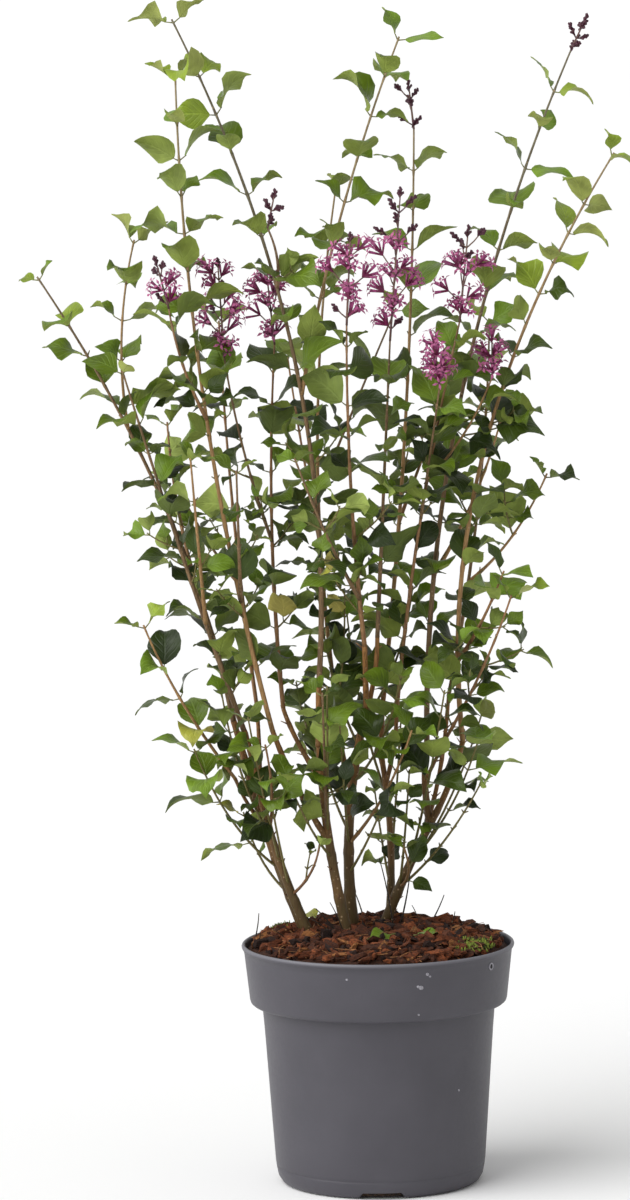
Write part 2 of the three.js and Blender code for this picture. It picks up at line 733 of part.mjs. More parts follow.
// A tuft of florets: a point in the stalk, a three-sided waist and a blunt outer point
function spraySolid(root, along, length, radius, swell = 0) {
  const geometry = new THREE.ConeGeometry(1, 1, 3, 1);
  const reference = Math.abs(along.z) < 0.8 ? new THREE.Vector3(0, 0, 1) : new THREE.Vector3(1, 0, 0);
  const side = along.clone().cross(reference).normalize();
  const front = along.clone().cross(side);
  const place = geometry.attributes.position;
  for (let i = 0; i < place.count; i++) {
    const x = place.getX(i);
    const z = place.getZ(i);
    const isRing = Math.hypot(x, z) > 0.5;
    const isOuter = !isRing && place.getY(i) < 0;
    const forward = isRing ? length * sprayWaist : isOuter ? length + swell : 0;
    const point = root
      .clone()
      .addScaledVector(along, forward)
      .addScaledVector(side, x * (radius + swell))
      .addScaledVector(front, z * (radius + swell));
    place.setXYZ(i, point.x, point.y, point.z);
  }
  return solidOf(geometry);
}

// A cone of sprays round a stalk that stands on the tip of a shoot
function makeFlowerHead(name, plan, mass) {
  const shoot = mass.shoots[plan.shoot];
  const random = makeRandom(plan.seed);
  const start = shoot.curve.getPoint(1);
  const tip = start.clone().add(new THREE.Vector3(...plan.lean, plan.length));
  const curve = bowedCurve(start, tip, new THREE.Vector3());
  const stalk = tube(curve, (t) => between([stalkRadius, stalkTipRadius], t), twigSides, 1);
  place(name, stalk, name);
  const pieces = [stalk];
  const rings = Math.max(2, Math.round(plan.length / sprayGap));
  for (let ring = 0; ring < rings; ring++) {
    const share = ring / rings;
    const t = between([headFrom, 1], share);
    const reach = (plan.width / 2) * between(sprayReach, share);
    const radius = Math.min(sprayRadius, reach * sprayShare);
    const { along, side, front } = acrossAt(curve, t);
    for (let i = 0; i < spraysPerRing; i++) {
      const turn = (2 * Math.PI * (i + ring / 2 + sprayTurn * random())) / spraysPerRing;
      const direction = side
        .clone()
        .multiplyScalar(Math.cos(turn))
        .addScaledVector(front, Math.sin(turn))
        .addScaledVector(along, between(sprayLift, random()))
        .normalize();
      const root = curve.getPoint(t);
      const length = reach * between(sprayLength, random());
      const space = spraySolid(root, direction, length, radius, gap);
      if (isClear(space, [name, shoot.family])) {
        pieces.push(spraySolid(root, direction, length, radius));
        place(name, space, name);
      }
    }
  }
  const upward = new THREE.Vector3(0, 0, 1);
  const tipLength = plan.length * headFrom + tipSprayRadius;
  const tipSpray = spraySolid(curve.getPoint(tipSprayFrom), upward, tipLength, tipSprayRadius);
  pieces.push(tipSpray);
  place(name, tipSpray, name);
  return wholeBody(wasm.Manifold.union(pieces).subtract(shoot.keepOut));
}

// ---- Assembly ---------------------------------------------------------------------------------------

const lilac = new THREE.Group();
lilac.name = "potted_lilac";

lilac.add(meshOf("pot", makePot(), potPlastic));
lilac.add(meshOf("root_ball", makeRootBall(), compost));

const grown = growLimbs();
let mulch = makeMulch();
for (const [name, limb] of Object.entries(grown)) {
  if (limbs[name].foot) {
    mulch = mulch.subtract(limb.keepOut);
  }
  place(name, limb.keepOut, name);
  lilac.add(meshOf(name, limb.solid, caneBark));
}
const mulchBody = wholeBody(mulch);
place("bark_mulch", mulchBody, "bark_mulch");
lilac.add(meshOf("bark_mulch", mulchBody, barkMulch));

const massList = Object.entries(masses).map(([name, plan]) => layShoots(name, plan, grown));

for (const [name, plan] of Object.entries(flowerHeads)) {
  const mass = massList.find((one) => one.name === plan.on);
  lilac.add(meshOf(name, makeFlowerHead(name, plan, mass), blossomPurple));
}

const flowering = new Set(Object.values(flowerHeads).map((plan) => `${plan.on}/${plan.shoot}`));
for (const mass of massList) {
  mass.shoots.forEach((shoot, number) => {
    const from = number === 0 ? mass.plan.from : sideLeavesFrom;
    const endsInFlower = flowering.has(shoot.family);
    leafShoot(mass, shoot, number, { from, pair: mass.plan.pair, hasTwigs: true, endsInFlower });
  });
  const joined = wasm.Manifold.union(mass.pieces).subtract(mass.bough.keepOut);
  lilac.add(meshOf(mass.name, wholeBody(joined), leafGreen));
}

export default lilac;
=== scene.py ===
import json
import math

import bmesh
import bpy
import numpy as np
from mathutils import Matrix, Vector, noise
from mathutils.bvhtree import BVHTree

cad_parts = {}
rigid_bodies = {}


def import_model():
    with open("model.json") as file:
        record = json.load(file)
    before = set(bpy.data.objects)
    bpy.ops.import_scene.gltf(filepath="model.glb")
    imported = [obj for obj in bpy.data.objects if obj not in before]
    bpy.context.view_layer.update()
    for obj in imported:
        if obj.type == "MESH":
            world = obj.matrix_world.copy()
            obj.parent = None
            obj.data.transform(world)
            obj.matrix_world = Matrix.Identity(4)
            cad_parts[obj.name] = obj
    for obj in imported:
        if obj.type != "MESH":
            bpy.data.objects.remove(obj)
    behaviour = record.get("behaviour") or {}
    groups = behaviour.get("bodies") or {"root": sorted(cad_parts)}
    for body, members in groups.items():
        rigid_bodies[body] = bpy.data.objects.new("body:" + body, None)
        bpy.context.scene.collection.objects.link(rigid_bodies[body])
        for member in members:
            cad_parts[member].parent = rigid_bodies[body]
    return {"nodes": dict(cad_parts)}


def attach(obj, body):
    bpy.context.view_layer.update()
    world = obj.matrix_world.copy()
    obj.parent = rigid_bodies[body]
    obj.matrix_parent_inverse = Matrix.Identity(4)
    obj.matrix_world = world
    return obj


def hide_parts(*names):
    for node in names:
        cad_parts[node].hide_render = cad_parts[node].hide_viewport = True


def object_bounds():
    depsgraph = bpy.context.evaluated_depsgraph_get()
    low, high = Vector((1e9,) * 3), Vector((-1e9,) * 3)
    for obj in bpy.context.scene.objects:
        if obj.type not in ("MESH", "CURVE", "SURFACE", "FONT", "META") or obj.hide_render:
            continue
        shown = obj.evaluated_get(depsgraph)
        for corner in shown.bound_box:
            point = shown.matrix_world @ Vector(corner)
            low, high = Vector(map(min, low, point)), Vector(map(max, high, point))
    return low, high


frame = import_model()
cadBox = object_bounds()

mm = 0.001  # shapes are worked out in millimetres, and become metres when they become pieces
up = np.array((0.0, 0.0, 1.0))
upAxis = Vector((0, 0, 1))
origin = Vector((0, 0, 0))

sequence = {"seedStep": 7919, "seedStart": 12345, "factor": 1664525, "step": 1013904223, "span": 2 ** 32}


def between(ends, share):
    return ends[0] + (ends[1] - ends[0]) * share


def unit(vector):
    return vector / np.linalg.norm(vector)


# A dictionary for each row, with its values under the given names; the last ones may be left out
def withNames(names, rows):
    return {key: dict(zip(names, values)) for key, values in rows.items()}


# Numbers from 0 to 1 in a fixed order for each seed, as the solids have them
def makeRandom(seed):
    state = (seed * sequence["seedStep"] + sequence["seedStart"]) % sequence["span"]

    def following():
        nonlocal state
        state = (state * sequence["factor"] + sequence["step"]) % sequence["span"]
        return state / sequence["span"]

    following()
    following()
    return following


# The linear colour that nodes take for an sRGB one, made lighter or darker where asked
def linear(colour, gain=1.0, lift=0.0):
    shares = [int(colour[i:i + 2], 16) / 255 for i in (1, 3, 5)]
    channels = [s / 12.92 if s <= 0.04045 else ((s + 0.055) / 1.055) ** 2.4 for s in shares]
    return [min(1.0, channel * gain + lift) for channel in channels] + [1.0]


# An sRGB colour with each channel cut to the given share
def darker(colour, share):
    return "#" + "".join(f"{int(int(colour[i:i + 2], 16) * share):02x}" for i in (1, 3, 5))


# The scale of a pattern whose grain is the given number of millimetres wide
def scaleFor(size):
    return 1 / (size * mm)


# Fills a node's inputs with values, or with links from outputs; a node stands for its first output
def fillInputs(tree, node, inputs):
    for name, value in inputs.items():
        if isinstance(value, bpy.types.Node):
            value = value.outputs[0]
        if isinstance(value, bpy.types.NodeSocket):
            tree.links.new(value, node.inputs[name])
        else:
            node.inputs[name].default_value = value


# Adds a node with its settings, its colour stops if it is a ramp, and what its inputs take
def addNode(tree, kind, inputs=None, stops=(), **settings):
    node = tree.nodes.new("ShaderNode" + kind)
    for name, value in settings.items():
        setattr(node, name, value)
    for number, (place, colour) in enumerate(stops):
        ramp = node.color_ramp.elements
        stop = ramp[number] if number < len(ramp) else ramp.new(place)
        stop.position = place
        stop.color = colour
    fillInputs(tree, node, inputs or {})
    return node


# A new finish, with its tree, its shader and the Object coordinates that its patterns read
def newMaterial(name, colour, roughness, ior=1.45, sheen=0.0):
    material = bpy.data.materials.new(name)
    material.use_nodes = True
    tree = material.node_tree
    shader = tree.nodes["Principled BSDF"]
    place = addNode(tree, "TexCoord").outputs["Object"]
    fillInputs(tree, shader, {"Base Color": linear(colour), "Roughness": roughness, "IOR": ior,
                              "Sheen Weight": sheen})
    return material, tree, shader, place


# A finish with soft clouds of a second shade, whose size is given in millimetres
def clouded(name, low, high, roughness, size, ior=1.45, sheen=0.0, detail=3.0):
    material, tree, shader, place = newMaterial(name, high, roughness, ior, sheen)
    cloud = addNode(tree, "TexNoise", {"Vector": place, "Scale": scaleFor(size), "Detail": detail})
    shade = addNode(tree, "ValToRGB", {"Fac": cloud}, stops=((0.3, linear(low)), (0.7, linear(high))))
    fillInputs(tree, shader, {"Base Color": shade})
    return material


def finishPiece(piece, replaced=()):
    bpy.context.scene.collection.objects.link(piece)
    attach(piece, "root")
    if replaced:
        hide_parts(*replaced)


def pieceFromMesh(name, mesh, materials, smooth=True):
    for material in materials:
        mesh.materials.append(material)
    if smooth:
        mesh.shade_smooth()
    return bpy.data.objects.new(name, mesh)


# Turns a bmesh in millimetres into a smooth piece in metres
def pieceFromShape(name, shape, materials):
    bmesh.ops.scale(shape, vec=(mm, mm, mm), verts=shape.verts)
    mesh = bpy.data.meshes.new(name)
    shape.to_mesh(mesh)
    shape.free()
    return pieceFromMesh(name, mesh, materials)


# Collects the points and faces of many small shapes that become one piece
def newHeap():
    return {"points": [], "faces": [], "finishes": [], "places": [], "count": 0}


def addToHeap(heap, points, faces, finishes=None, places=None):
    start = heap["count"]
    heap["points"].append(points)
    heap["faces"].extend([tuple(start + i for i in face) for face in faces])
    heap["finishes"].extend(finishes or [0] * len(faces))
    heap["places"].append(np.zeros((len(points), 2)) if places is None else places)
    heap["count"] += len(points)


# Makes one piece of a heap; edges that turn by more than the rim's degrees stay sharp
def pieceFromHeap(name, heap, materials, smooth=True, rim=None):
    mesh = bpy.data.meshes.new(name)
    points = np.concatenate(heap["points"]) * mm
    mesh.from_pydata(points.tolist(), [], heap["faces"])
    mesh.polygons.foreach_set("material_index", heap["finishes"])
    corners = np.empty(len(mesh.loops), int)
    mesh.loops.foreach_get("vertex_index", corners)
    layer = mesh.uv_layers.new(name="surface")
    layer.uv.foreach_set("vector", np.concatenate(heap["places"])[corners].ravel())
    piece = pieceFromMesh(name, mesh, materials, smooth)
    if rim:
        mesh.set_sharp_from_angle(angle=math.radians(rim))
    return piece


# The faces of a closed stack of rings, whose lower and upper end points come after the rings
def stackFaces(sides, rings):
    low, high, last = rings * sides, rings * sides + 1, (rings - 1) * sides
    faces = []
    for j in range(sides):
        k = (j + 1) % sides
        faces += [(i + j, i + k, i + sides + k, i + sides + j) for i in range(0, last, sides)]
        faces += [(low, k, j), (high, last + j, last + k)]
    return faces


# A quadratic curve from a start to a tip, bowed off the straight line
def bowedCurve(start, tip, bow=(0, 0, 0)):
    start, tip, bow = (np.array(point, float) for point in (start, tip, bow))
    return start, (start + tip) / 2 + 2 * bow, tip


def pointOn(curve, t):
    a, b, c = curve
    return (1 - t) ** 2 * a + 2 * t * (1 - t) * b + t ** 2 * c


def lengthOf(curve):
    spots = np.array([pointOn(curve, t) for t in np.linspace(0, 1, 21)])
    return float(np.linalg.norm(np.diff(spots, axis=0), axis=1).sum())


# The direction along a curve and two across it, from one reference that suits the whole curve
def acrossOn(curve, t):
    a, b, c = curve
    reference = np.array((0, 1, 0)) if abs(unit(c - a)[1]) < 0.8 else np.array((1, 0, 0))
    along = unit((1 - t) * (b - a) + t * (c - b))
    side = unit(np.cross(along, reference))
    return along, side, np.cross(side, along)


# The direction along a curve, and the one that leaves it at a turn about it
def outwardOn(curve, t, turn):
    along, side, front = acrossOn(curve, t)
    return along, side * math.cos(turn) + front * math.sin(turn)


# A closed tube along a curve. Its look has its sides, its rings or the gap between them, and a
# radius for each end or a function that gives one for a share along it.
def addTube(heap, curve, look, finish=0):
    sides, radius = look["sides"], look["radius"]
    rings = look["rings"] if "rings" in look else max(4, round(lengthOf(curve) / look["ringGap"]))
    turn = np.arange(sides) * math.tau / sides
    points = []
    for i in range(rings):
        t = i / (rings - 1)
        along, side, front = acrossOn(curve, t)
        ring = np.outer(np.cos(turn), side) + np.outer(np.sin(turn), front)
        points.append(pointOn(curve, t) + (radius(t) if callable(radius) else between(radius, t)) * ring)
    points.append([curve[0], curve[2]])
    faces = [face[::-1] for face in stackFaces(sides, rings)]  # the rings run clockwise
    addToHeap(heap, np.concatenate(points), faces, [finish] * len(faces))


view = {"place": (-49, -4500, 972), "pitch": 6.07, "roll": -0.8, "lens": 162.0, "farthest": 200}


def makeCamera():
    data = bpy.data.cameras.new("camera")
    data.lens = view["lens"]
    data.clip_end = view["farthest"]
    camera = bpy.data.objects.new("camera", data)
    turn = Matrix.Rotation(math.radians(90 - view["pitch"]), 4, "X")
    roll = Matrix.Rotation(math.radians(view["roll"]), 4, "Z")
    camera.matrix_world = Matrix.Translation(Vector(view["place"]) * mm) @ turn @ roll
    bpy.context.scene.collection.objects.link(camera)
    bpy.context.scene.camera = camera


studio = {
    "sky": 0.52, "horizon": 1.06, "fade": (0.02, 0.16),  # the sky dims over this rise above the horizon
    "key": {"strength": 2.8, "angle": 64, "turn": (52, 0, -58)},
    "floor": "#fcfcfc", "floorSize": 1600, "floorDrop": 0.0005,  # metres: its far edge is past every view
}


def makeLight():
    world = bpy.data.worlds.new("studio")
    world.use_nodes = True
    tree = world.node_tree
    direction = addNode(tree, "TexCoord").outputs["Generated"]
    height = addNode(tree, "SeparateXYZ", {"Vector": direction}).outputs["Z"]
    low, high = studio["fade"]
    fade = addNode(tree, "MapRange", {"Value": height, "From Min": low, "From Max": high,
                                      "To Min": studio["horizon"], "To Max": studio["sky"]})
    fillInputs(tree, tree.nodes["Background"], {"Color": (1, 1, 1, 1), "Strength": fade})
    bpy.context.scene.world = world
    bpy.context.scene.view_settings.view_transform = "Standard"
    data = bpy.data.lights.new("key", "SUN")
    data.energy = studio["key"]["strength"]
    data.angle = math.radians(studio["key"]["angle"])
    lamp = bpy.data.objects.new("key", data)
    lamp.rotation_euler = [math.radians(a) for a in studio["key"]["turn"]]
    bpy.context.scene.collection.objects.link(lamp)


def makeFloor():
    shape = bmesh.new()
    bmesh.ops.create_grid(shape, x_segments=1, y_segments=1, size=studio["floorSize"] / 2)
    mesh = bpy.data.meshes.new("floor")
    shape.to_mesh(mesh)
    shape.free()
    mesh.materials.append(newMaterial("matte paper sweep", studio["floor"], 0.9)[0])
    floor = bpy.data.objects.new("floor", mesh)
    floor.location.z = -studio["floorDrop"]
    bpy.context.scene.collection.objects.link(floor)


# Pot: its outline as radius and height, up the outside, over the rolled lip and down the inside
pot = {
    "steps": 128,
    "outside": [
        (0, 0), (79, 0), (82, 0.3), (84.2, 1.8), (86.6, 6), (88, 12.8), (88.2, 14.2), (87.7, 14.9),
        (88.3, 15.6), (88.7, 18), (91, 50), (94, 94), (96.5, 130), (98.2, 150), (98.5, 152), (99.2, 152.4),
        (104, 152.2), (106.3, 152.6), (107.9, 154), (108.6, 156.4), (110.5, 174), (112.6, 193),
        (113.3, 198.4), (114.2, 198.9), (114.8, 199.9), (115, 201.2), (114.6, 202.3), (113.7, 203),
        (112.7, 202.8), (112.1, 202), (111.8, 200.6),
    ],
    "inside": [(110.8, 193), (108.7, 174), (106.8, 156.4), (105, 154), (97, 152.5), (94.6, 130), (89.2, 50),
               (86.2, 15), (82, 2.2), (0, 1.8)],
    "slots": {"count": 4, "width": 41, "slope": 4.5, "length": 22, "middle": 82, "top": 5.4, "bottom": -1},
}

# Marks on the wall: a punched hole as a dark plug of painted shade, its burr, and blisters as turn, height
# and radius
potMarks = {
    "step": 154,
    "collar": {"height": 156.4, "radius": 108.6, "slope": 0.11},
    "body": {"height": 18, "radius": 88.7, "slope": 0.073},
    "hole": {"turn": -34, "height": 191.5, "radius": 2.3, "depth": 0.6, "flare": 0.1, "steps": 28},
    "burr": {"radius": 0.75, "gap": 0.3, "proud": 0.1, "segments": 10},
    "blisters": [(-69.5, 193, 1.3), (-68.3, 191, 0.9), (-73.5, 183, 1.2), (-72.2, 182, 1.8), (-73, 159, 0.8),
                 (-104, 190, 0.9), (-46, 88, 0.9)],
    "blisterShape": (1.2, 1, 0.45),
}


# Injection-moulded polypropylene: a satin skin, a little cloudy and finely grained, with a painted
# highlight that pales the top of its lip
def mouldedPlastic():
    material, tree, shader, place = newMaterial("moulded polypropylene", "#424146", 0.5, 1.49)
    cloud = addNode(tree, "TexNoise", {"Vector": place, "Scale": scaleFor(55), "Detail": 3.0})
    cloudy = addNode(tree, "ValToRGB", {"Fac": cloud},
                     stops=((0.3, linear("#403e45")), (0.7, linear("#47454c"))))
    height = addNode(tree, "SeparateXYZ", {"Vector": place}).outputs["Z"]
    # Painted highlight: the top of the rolled lip is mixed towards pale grey, as where it catches the light
    lip = addNode(tree, "MapRange", {"Value": height, "From Min": 0.2, "From Max": 0.2026, "To Max": 0.6})
    paintedLipHighlight = addNode(tree, "Mix", {"Factor": lip, 6: cloudy, 7: linear("#85848b")}, data_type="RGBA")
    dust = addNode(tree, "TexNoise", {"Vector": place, "Scale": scaleFor(3.8), "Detail": 2.0})
    gloss = addNode(tree, "MapRange", {"Value": dust, "To Min": 0.42, "To Max": 0.56})
    skin = addNode(tree, "TexNoise", {"Vector": place, "Scale": scaleFor(1.1), "Detail": 2.0})
    bump = addNode(tree, "Bump", {"Height": skin, "Distance": 0.06 * mm, "Strength": 0.5})
    fillInputs(tree, shader, {"Base Color": paintedLipHighlight.outputs[2], "Roughness": gloss, "Normal": bump})
    return material


# Spins what a shape holds once round the upright axis
def spinShape(shape, steps):
    bmesh.ops.spin(shape, geom=shape.verts[:] + shape.edges[:], axis=upAxis, cent=origin, steps=steps,
                   angle=math.tau, use_merge=True)
    bmesh.ops.remove_doubles(shape, verts=shape.verts, dist=0.001)
    bmesh.ops.recalc_face_normals(shape, faces=shape.faces)
    return shape


def spinOutline(outline, steps):
    shape = bmesh.new()
    ring = [shape.verts.new((radius, 0, height)) for radius, height in outline]
    for pair in zip(ring, ring[1:]):
        shape.edges.new(pair)
    return spinShape(shape, steps)


# Wedges that cut the drain slots through the foot
def slotCutters():
    slots = pot["slots"]
    shape = bmesh.new()
    for i in range(slots["count"]):
        wedge = bmesh.ops.create_cube(shape, size=1)["verts"]
        for vertex in wedge:
            isTop = vertex.co.z > 0
            half = slots["width"] / 2 - (slots["slope"] if isTop else 0)
            away = vertex.co.y * slots["length"] - slots["middle"]
            vertex.co = (math.copysign(half, vertex.co.x), away, slots["top"] if isTop else slots["bottom"])
        quarter = Matrix.Rotation(math.tau * i / slots["count"], 3, "Z")
        bmesh.ops.rotate(shape, cent=origin, matrix=quarter, verts=wedge)
    bmesh.ops.recalc_face_normals(shape, faces=shape.faces)
    return shape


# Puts a smooth mesh's points and faces in one fixed order
def inFixedOrder(mesh):
    spots = [tuple(vertex.co) for vertex in mesh.vertices]
    order = sorted(range(len(spots)), key=spots.__getitem__)
    rank = {old: new for new, old in enumerate(order)}
    rings = []
    for face in mesh.polygons:
        ring = [rank[i] for i in face.vertices]
        first = ring.index(min(ring))
        rings.append(ring[first:] + ring[:first])
    mesh.clear_geometry()
    mesh.from_pydata([spots[i] for i in order], [], sorted(rings))
    mesh.shade_smooth()
    return mesh


# Cuts a piece with a second shape, and keeps the result as its mesh. The solver's own order of faces
# changes from run to run.
def cutPiece(piece, shape):
    cutter = pieceFromShape("cutter", shape, [])
    bpy.context.scene.collection.objects.link(cutter)
    cut = piece.modifiers.new("cut", "BOOLEAN")
    cut.object = cutter
    cut.operation = "DIFFERENCE"
    cut.solver = "EXACT"
    result = bpy.data.meshes.new_from_object(piece.evaluated_get(bpy.context.evaluated_depsgraph_get()))
    piece.modifiers.clear()
    piece.data = inFixedOrder(result)
    bpy.data.objects.remove(cutter)


# Sets a shape that is modelled about the upright axis on the wall, with that axis pointing outwards
def setOnWall(shape, verts, turn, height, proud=0.0):
    wall = potMarks["collar"] if height > potMarks["step"] else potMarks["body"]
    radius = wall["radius"] + (height - wall["height"]) * wall["slope"]
    out = Vector((math.cos(math.radians(turn)), math.sin(math.radians(turn)), 0))
    bmesh.ops.rotate(shape, cent=origin, matrix=upAxis.rotation_difference(out).to_matrix(), verts=verts)
    bmesh.ops.translate(shape, vec=out * (radius + proud) + Vector((0, 0, height)), verts=verts)


def makePotMarks():
    hole, burr = potMarks["hole"], potMarks["burr"]
    shape = bmesh.new()
    ring = bmesh.ops.create_circle(shape, segments=burr["segments"], radius=burr["radius"])["verts"]
    bmesh.ops.rotate(shape, cent=origin, matrix=Matrix.Rotation(math.pi / 2, 3, "X"), verts=ring)
    bmesh.ops.translate(shape, vec=(hole["radius"] + burr["gap"], 0, 0), verts=ring)
    spinShape(shape, hole["steps"])
    setOnWall(shape, shape.verts, hole["turn"], hole["height"], burr["proud"])
    for turn, height, radius in potMarks["blisters"]:
        blister = bmesh.ops.create_icosphere(shape, subdivisions=3, radius=radius)["verts"]
        bmesh.ops.scale(shape, vec=potMarks["blisterShape"], verts=blister)
        setOnWall(shape, blister, turn, height)
    # Glossy plastic on the hole's burr and on the blisters, made pale by a painted highlight
    highlightPlastic = clouded("pale polypropylene with painted highlight", "#77757c", "#9a989f", 0.14, 1.4, 1.49)
    finishPiece(pieceFromShape("pot_marks", shape, [highlightPlastic]))
    shape = bmesh.new()
    bmesh.ops.create_cone(shape, cap_ends=True, segments=hole["steps"], depth=hole["depth"],
                          radius1=hole["radius"] + hole["flare"], radius2=hole["radius"])
    setOnWall(shape, shape.verts, hole["turn"], hole["height"])
    # Painted shade: the hole is not cut, and a dark plug stands in it, coloured as the shade inside
    holeShade = clouded("painted hole shade", "#08080a", "#17171a", 0.8, 2, 1.49)
    finishPiece(pieceFromShape("pot_hole", shape, [holeShade]))


def makePot():
    shell = spinOutline(pot["outside"] + pot["inside"], pot["steps"])
    piece = pieceFromShape("pot_shell", shell, [mouldedPlastic()])
    finishPiece(piece, ["pot"])
    cutPiece(piece, slotCutters())
    makePotMarks()
    print("pot")


# Compost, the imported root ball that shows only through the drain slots: fibrous peat in dark,
# shineless crumbs
def makeCompost():
    material, tree, shader, place = newMaterial("fibrous peat compost", "#2e211a", 1.0)
    crumbs = addNode(tree, "TexVoronoi", {"Vector": place, "Scale": scaleFor(2.4)})
    shade = addNode(tree, "ValToRGB", {"Fac": crumbs},
                    stops=((0.3, linear("#3d2c20")), (0.7, linear("#1d140f"))))
    bump = addNode(tree, "Bump", {"Height": crumbs, "Distance": 1.5 * mm})
    fillInputs(tree, shader, {"Base Color": shade, "Normal": bump})
    data = frame["nodes"]["root_ball"].data
    data.materials.clear()
    data.materials.append(material)
    print("compost")


# Mulch: a mound of fines over the compost, under loose chips of bark and pale fibres
mound = {
    "bottom": 188.4, "edge": 199.5, "middle": 213, "radius": 110, "rings": 22, "steps": 96,
    "lump": 2.2, "lumpWidth": 13, "sunk": 2.5, "seed": 5,
}

# A chip is a rough bar with pointed ends; its width and thickness are shares of its length
chips = {
    "count": 2100, "sides": 5, "length": (5, 21), "usual": 0.8, "longer": 1.35, "width": (0.28, 0.6),
    "thickness": (0.14, 0.34), "uneven": (0.75, 1.25), "unevenThickness": (0.7, 1.3),
    "shoulder": (0.22, 0.42), "tipShift": 0.2, "tilt": 0.28, "lift": (-3.2, 1.6), "inset": 3.5,
    "insetShare": 0.32,
    "tones": {"pine bark": ("#693519", 8), "damp pine bark": ("#48220d", 7), "red pine bark": ("#834522", 5),
              "wet pine bark": ("#28120a", 4), "dry pine bark": ("#9c6538", 1.6)},
}

fibres = {
    "count": 170, "length": (10, 30), "radius": (0.22, 0.5), "taper": 0.5, "sides": 4, "rings": 5,
    "lift": (0.3, 2.6), "rise": 0.12, "bow": 0.14, "insetShare": 0.5,
}


def moundHeight(x, y):
    share = min(math.hypot(x, y) / mound["radius"], 1)
    height = between((mound["edge"], mound["middle"]), math.sqrt(1 - share * share))
    return height + mound["lump"] * noise.noise(Vector((x, y, 0)) / mound["lumpWidth"])


# A chance place on the mound within a reach of its middle, lifted by a chance amount
def placeOnMound(rng, reach, lift):
    distance = reach * math.sqrt(rng.random())
    angle = rng.uniform(0, math.tau)
    x, y = distance * math.cos(angle), distance * math.sin(angle)
    return np.array((x, y, moundHeight(x, y) + rng.uniform(*lift)))


# Shredded bark is dry and matt, with a coarse torn grain that is darker in its furrows
def shreddedBark(name, colour):
    material, tree, shader, place = newMaterial(name, colour, 0.92)
    stretch = addNode(tree, "Mapping", {"Vector": place, "Scale": (1.0, 1.0, 3.0)})
    grain = addNode(tree, "TexNoise", {"Vector": stretch, "Scale": scaleFor(2.4), "Detail": 5.0})
    shade = addNode(tree, "ValToRGB", {"Fac": grain},
                    stops=((0.34, linear(darker(colour, 0.55))), (0.58, linear(colour))))
    bump = addNode(tree, "Bump", {"Height": grain, "Distance": 1.2 * mm})
    fillInputs(tree, shader, {"Base Color": shade, "Normal": bump})
    return material


def makeMound():
    rings = mound["rings"]
    outline = [(0, mound["bottom"]), (mound["radius"], mound["bottom"])]
    outline += [(mound["radius"] * i / rings, mound["edge"]) for i in range(rings, -1, -1)]
    shape = spinOutline(outline, mound["steps"])
    for vertex in shape.verts:
        if vertex.co.z > mound["bottom"] + 1:
            vertex.co.z = moundHeight(vertex.co.x, vertex.co.y) - mound["sunk"]
    fines = shreddedBark("composted bark fines", "#40200f")
    finishPiece(pieceFromShape("mulch_bed", shape, [fines]), ["bark_mulch"])


def chipPoints(rng, length, width, thickness):
    sides = chips["sides"]
    turn = np.arange(sides) * math.tau / sides + rng.uniform(0, 1)
    points = []
    for end in (-1, 1):
        wide = width / 2 * rng.uniform(*chips["uneven"], sides)
        thick = thickness / 2 * rng.uniform(*chips["unevenThickness"], sides)
        along = end * length * rng.uniform(*chips["shoulder"], sides)
        points.append(np.stack([along, np.cos(turn) * wide, np.sin(turn) * thick], 1))
    tips = np.array([[-length / 2, 0, 0], [length / 2, 0, 0]])
    tips += rng.uniform(-chips["tipShift"], chips["tipShift"], (2, 3)) * width
    return np.concatenate(points + [tips])


def turned(points, turn, tilt, roll):
    matrix = Matrix.Rotation(turn, 3, "Z") @ Matrix.Rotation(tilt, 3, "Y") @ Matrix.Rotation(roll, 3, "X")
    return points @ np.array(matrix).T


def makeChips(rng):
    faces = stackFaces(chips["sides"], 2)
    weights = np.array([weight for colour, weight in chips["tones"].values()])
    heap = newHeap()
    for i in range(chips["count"]):
        length = rng.uniform(*chips["length"]) * (1 if rng.random() < chips["usual"] else chips["longer"])
        width = length * rng.uniform(*chips["width"])
        thickness = length * rng.uniform(*chips["thickness"])
        points = chipPoints(rng, length, width, thickness)
        turn, tilt, roll = rng.uniform(0, math.tau), rng.normal(0, chips["tilt"]), rng.uniform(0, math.tau)
        points = turned(points, turn, tilt, roll)
        reach = mound["radius"] - chips["inset"] - chips["insetShare"] * length
        points = points + placeOnMound(rng, reach, chips["lift"])
        tone = int(rng.choice(len(weights), p=weights / weights.sum()))
        addToHeap(heap, points, faces, [tone] * len(faces))
    barks = [shreddedBark(name, colour) for name, (colour, weight) in chips["tones"].items()]
    finishPiece(pieceFromHeap("mulch_chips", heap, barks, smooth=False), ["bark_mulch"])


def makeFibres(rng):
    heap = newHeap()
    for i in range(fibres["count"]):
        length = rng.uniform(*fibres["length"])
        middle = placeOnMound(rng, mound["radius"] - fibres["insetShare"] * length, fibres["lift"])
        turn = rng.uniform(0, math.tau)
        reach = np.array((math.cos(turn), math.sin(turn), rng.normal(0, fibres["rise"]))) * length / 2
        bow = rng.normal(0, fibres["bow"], 3) * length
        thick = rng.uniform(*fibres["radius"])
        curve = (middle - reach, middle + bow, middle + reach)
        addTube(heap, curve, fibres | {"radius": (thick, thick * fibres["taper"])})
    bast = clouded("bast fibre", "#7f5231", "#b07d50", 0.85, 6)  # dry inner bark, paler than the chips
    finishPiece(pieceFromHeap("mulch_fibres", heap, [bast]), ["bark_mulch"])


def makeMulch():
    makeMound()
    rng = np.random.default_rng(mound["seed"])
    makeChips(rng)
    makeFibres(rng)
    print("mulch")


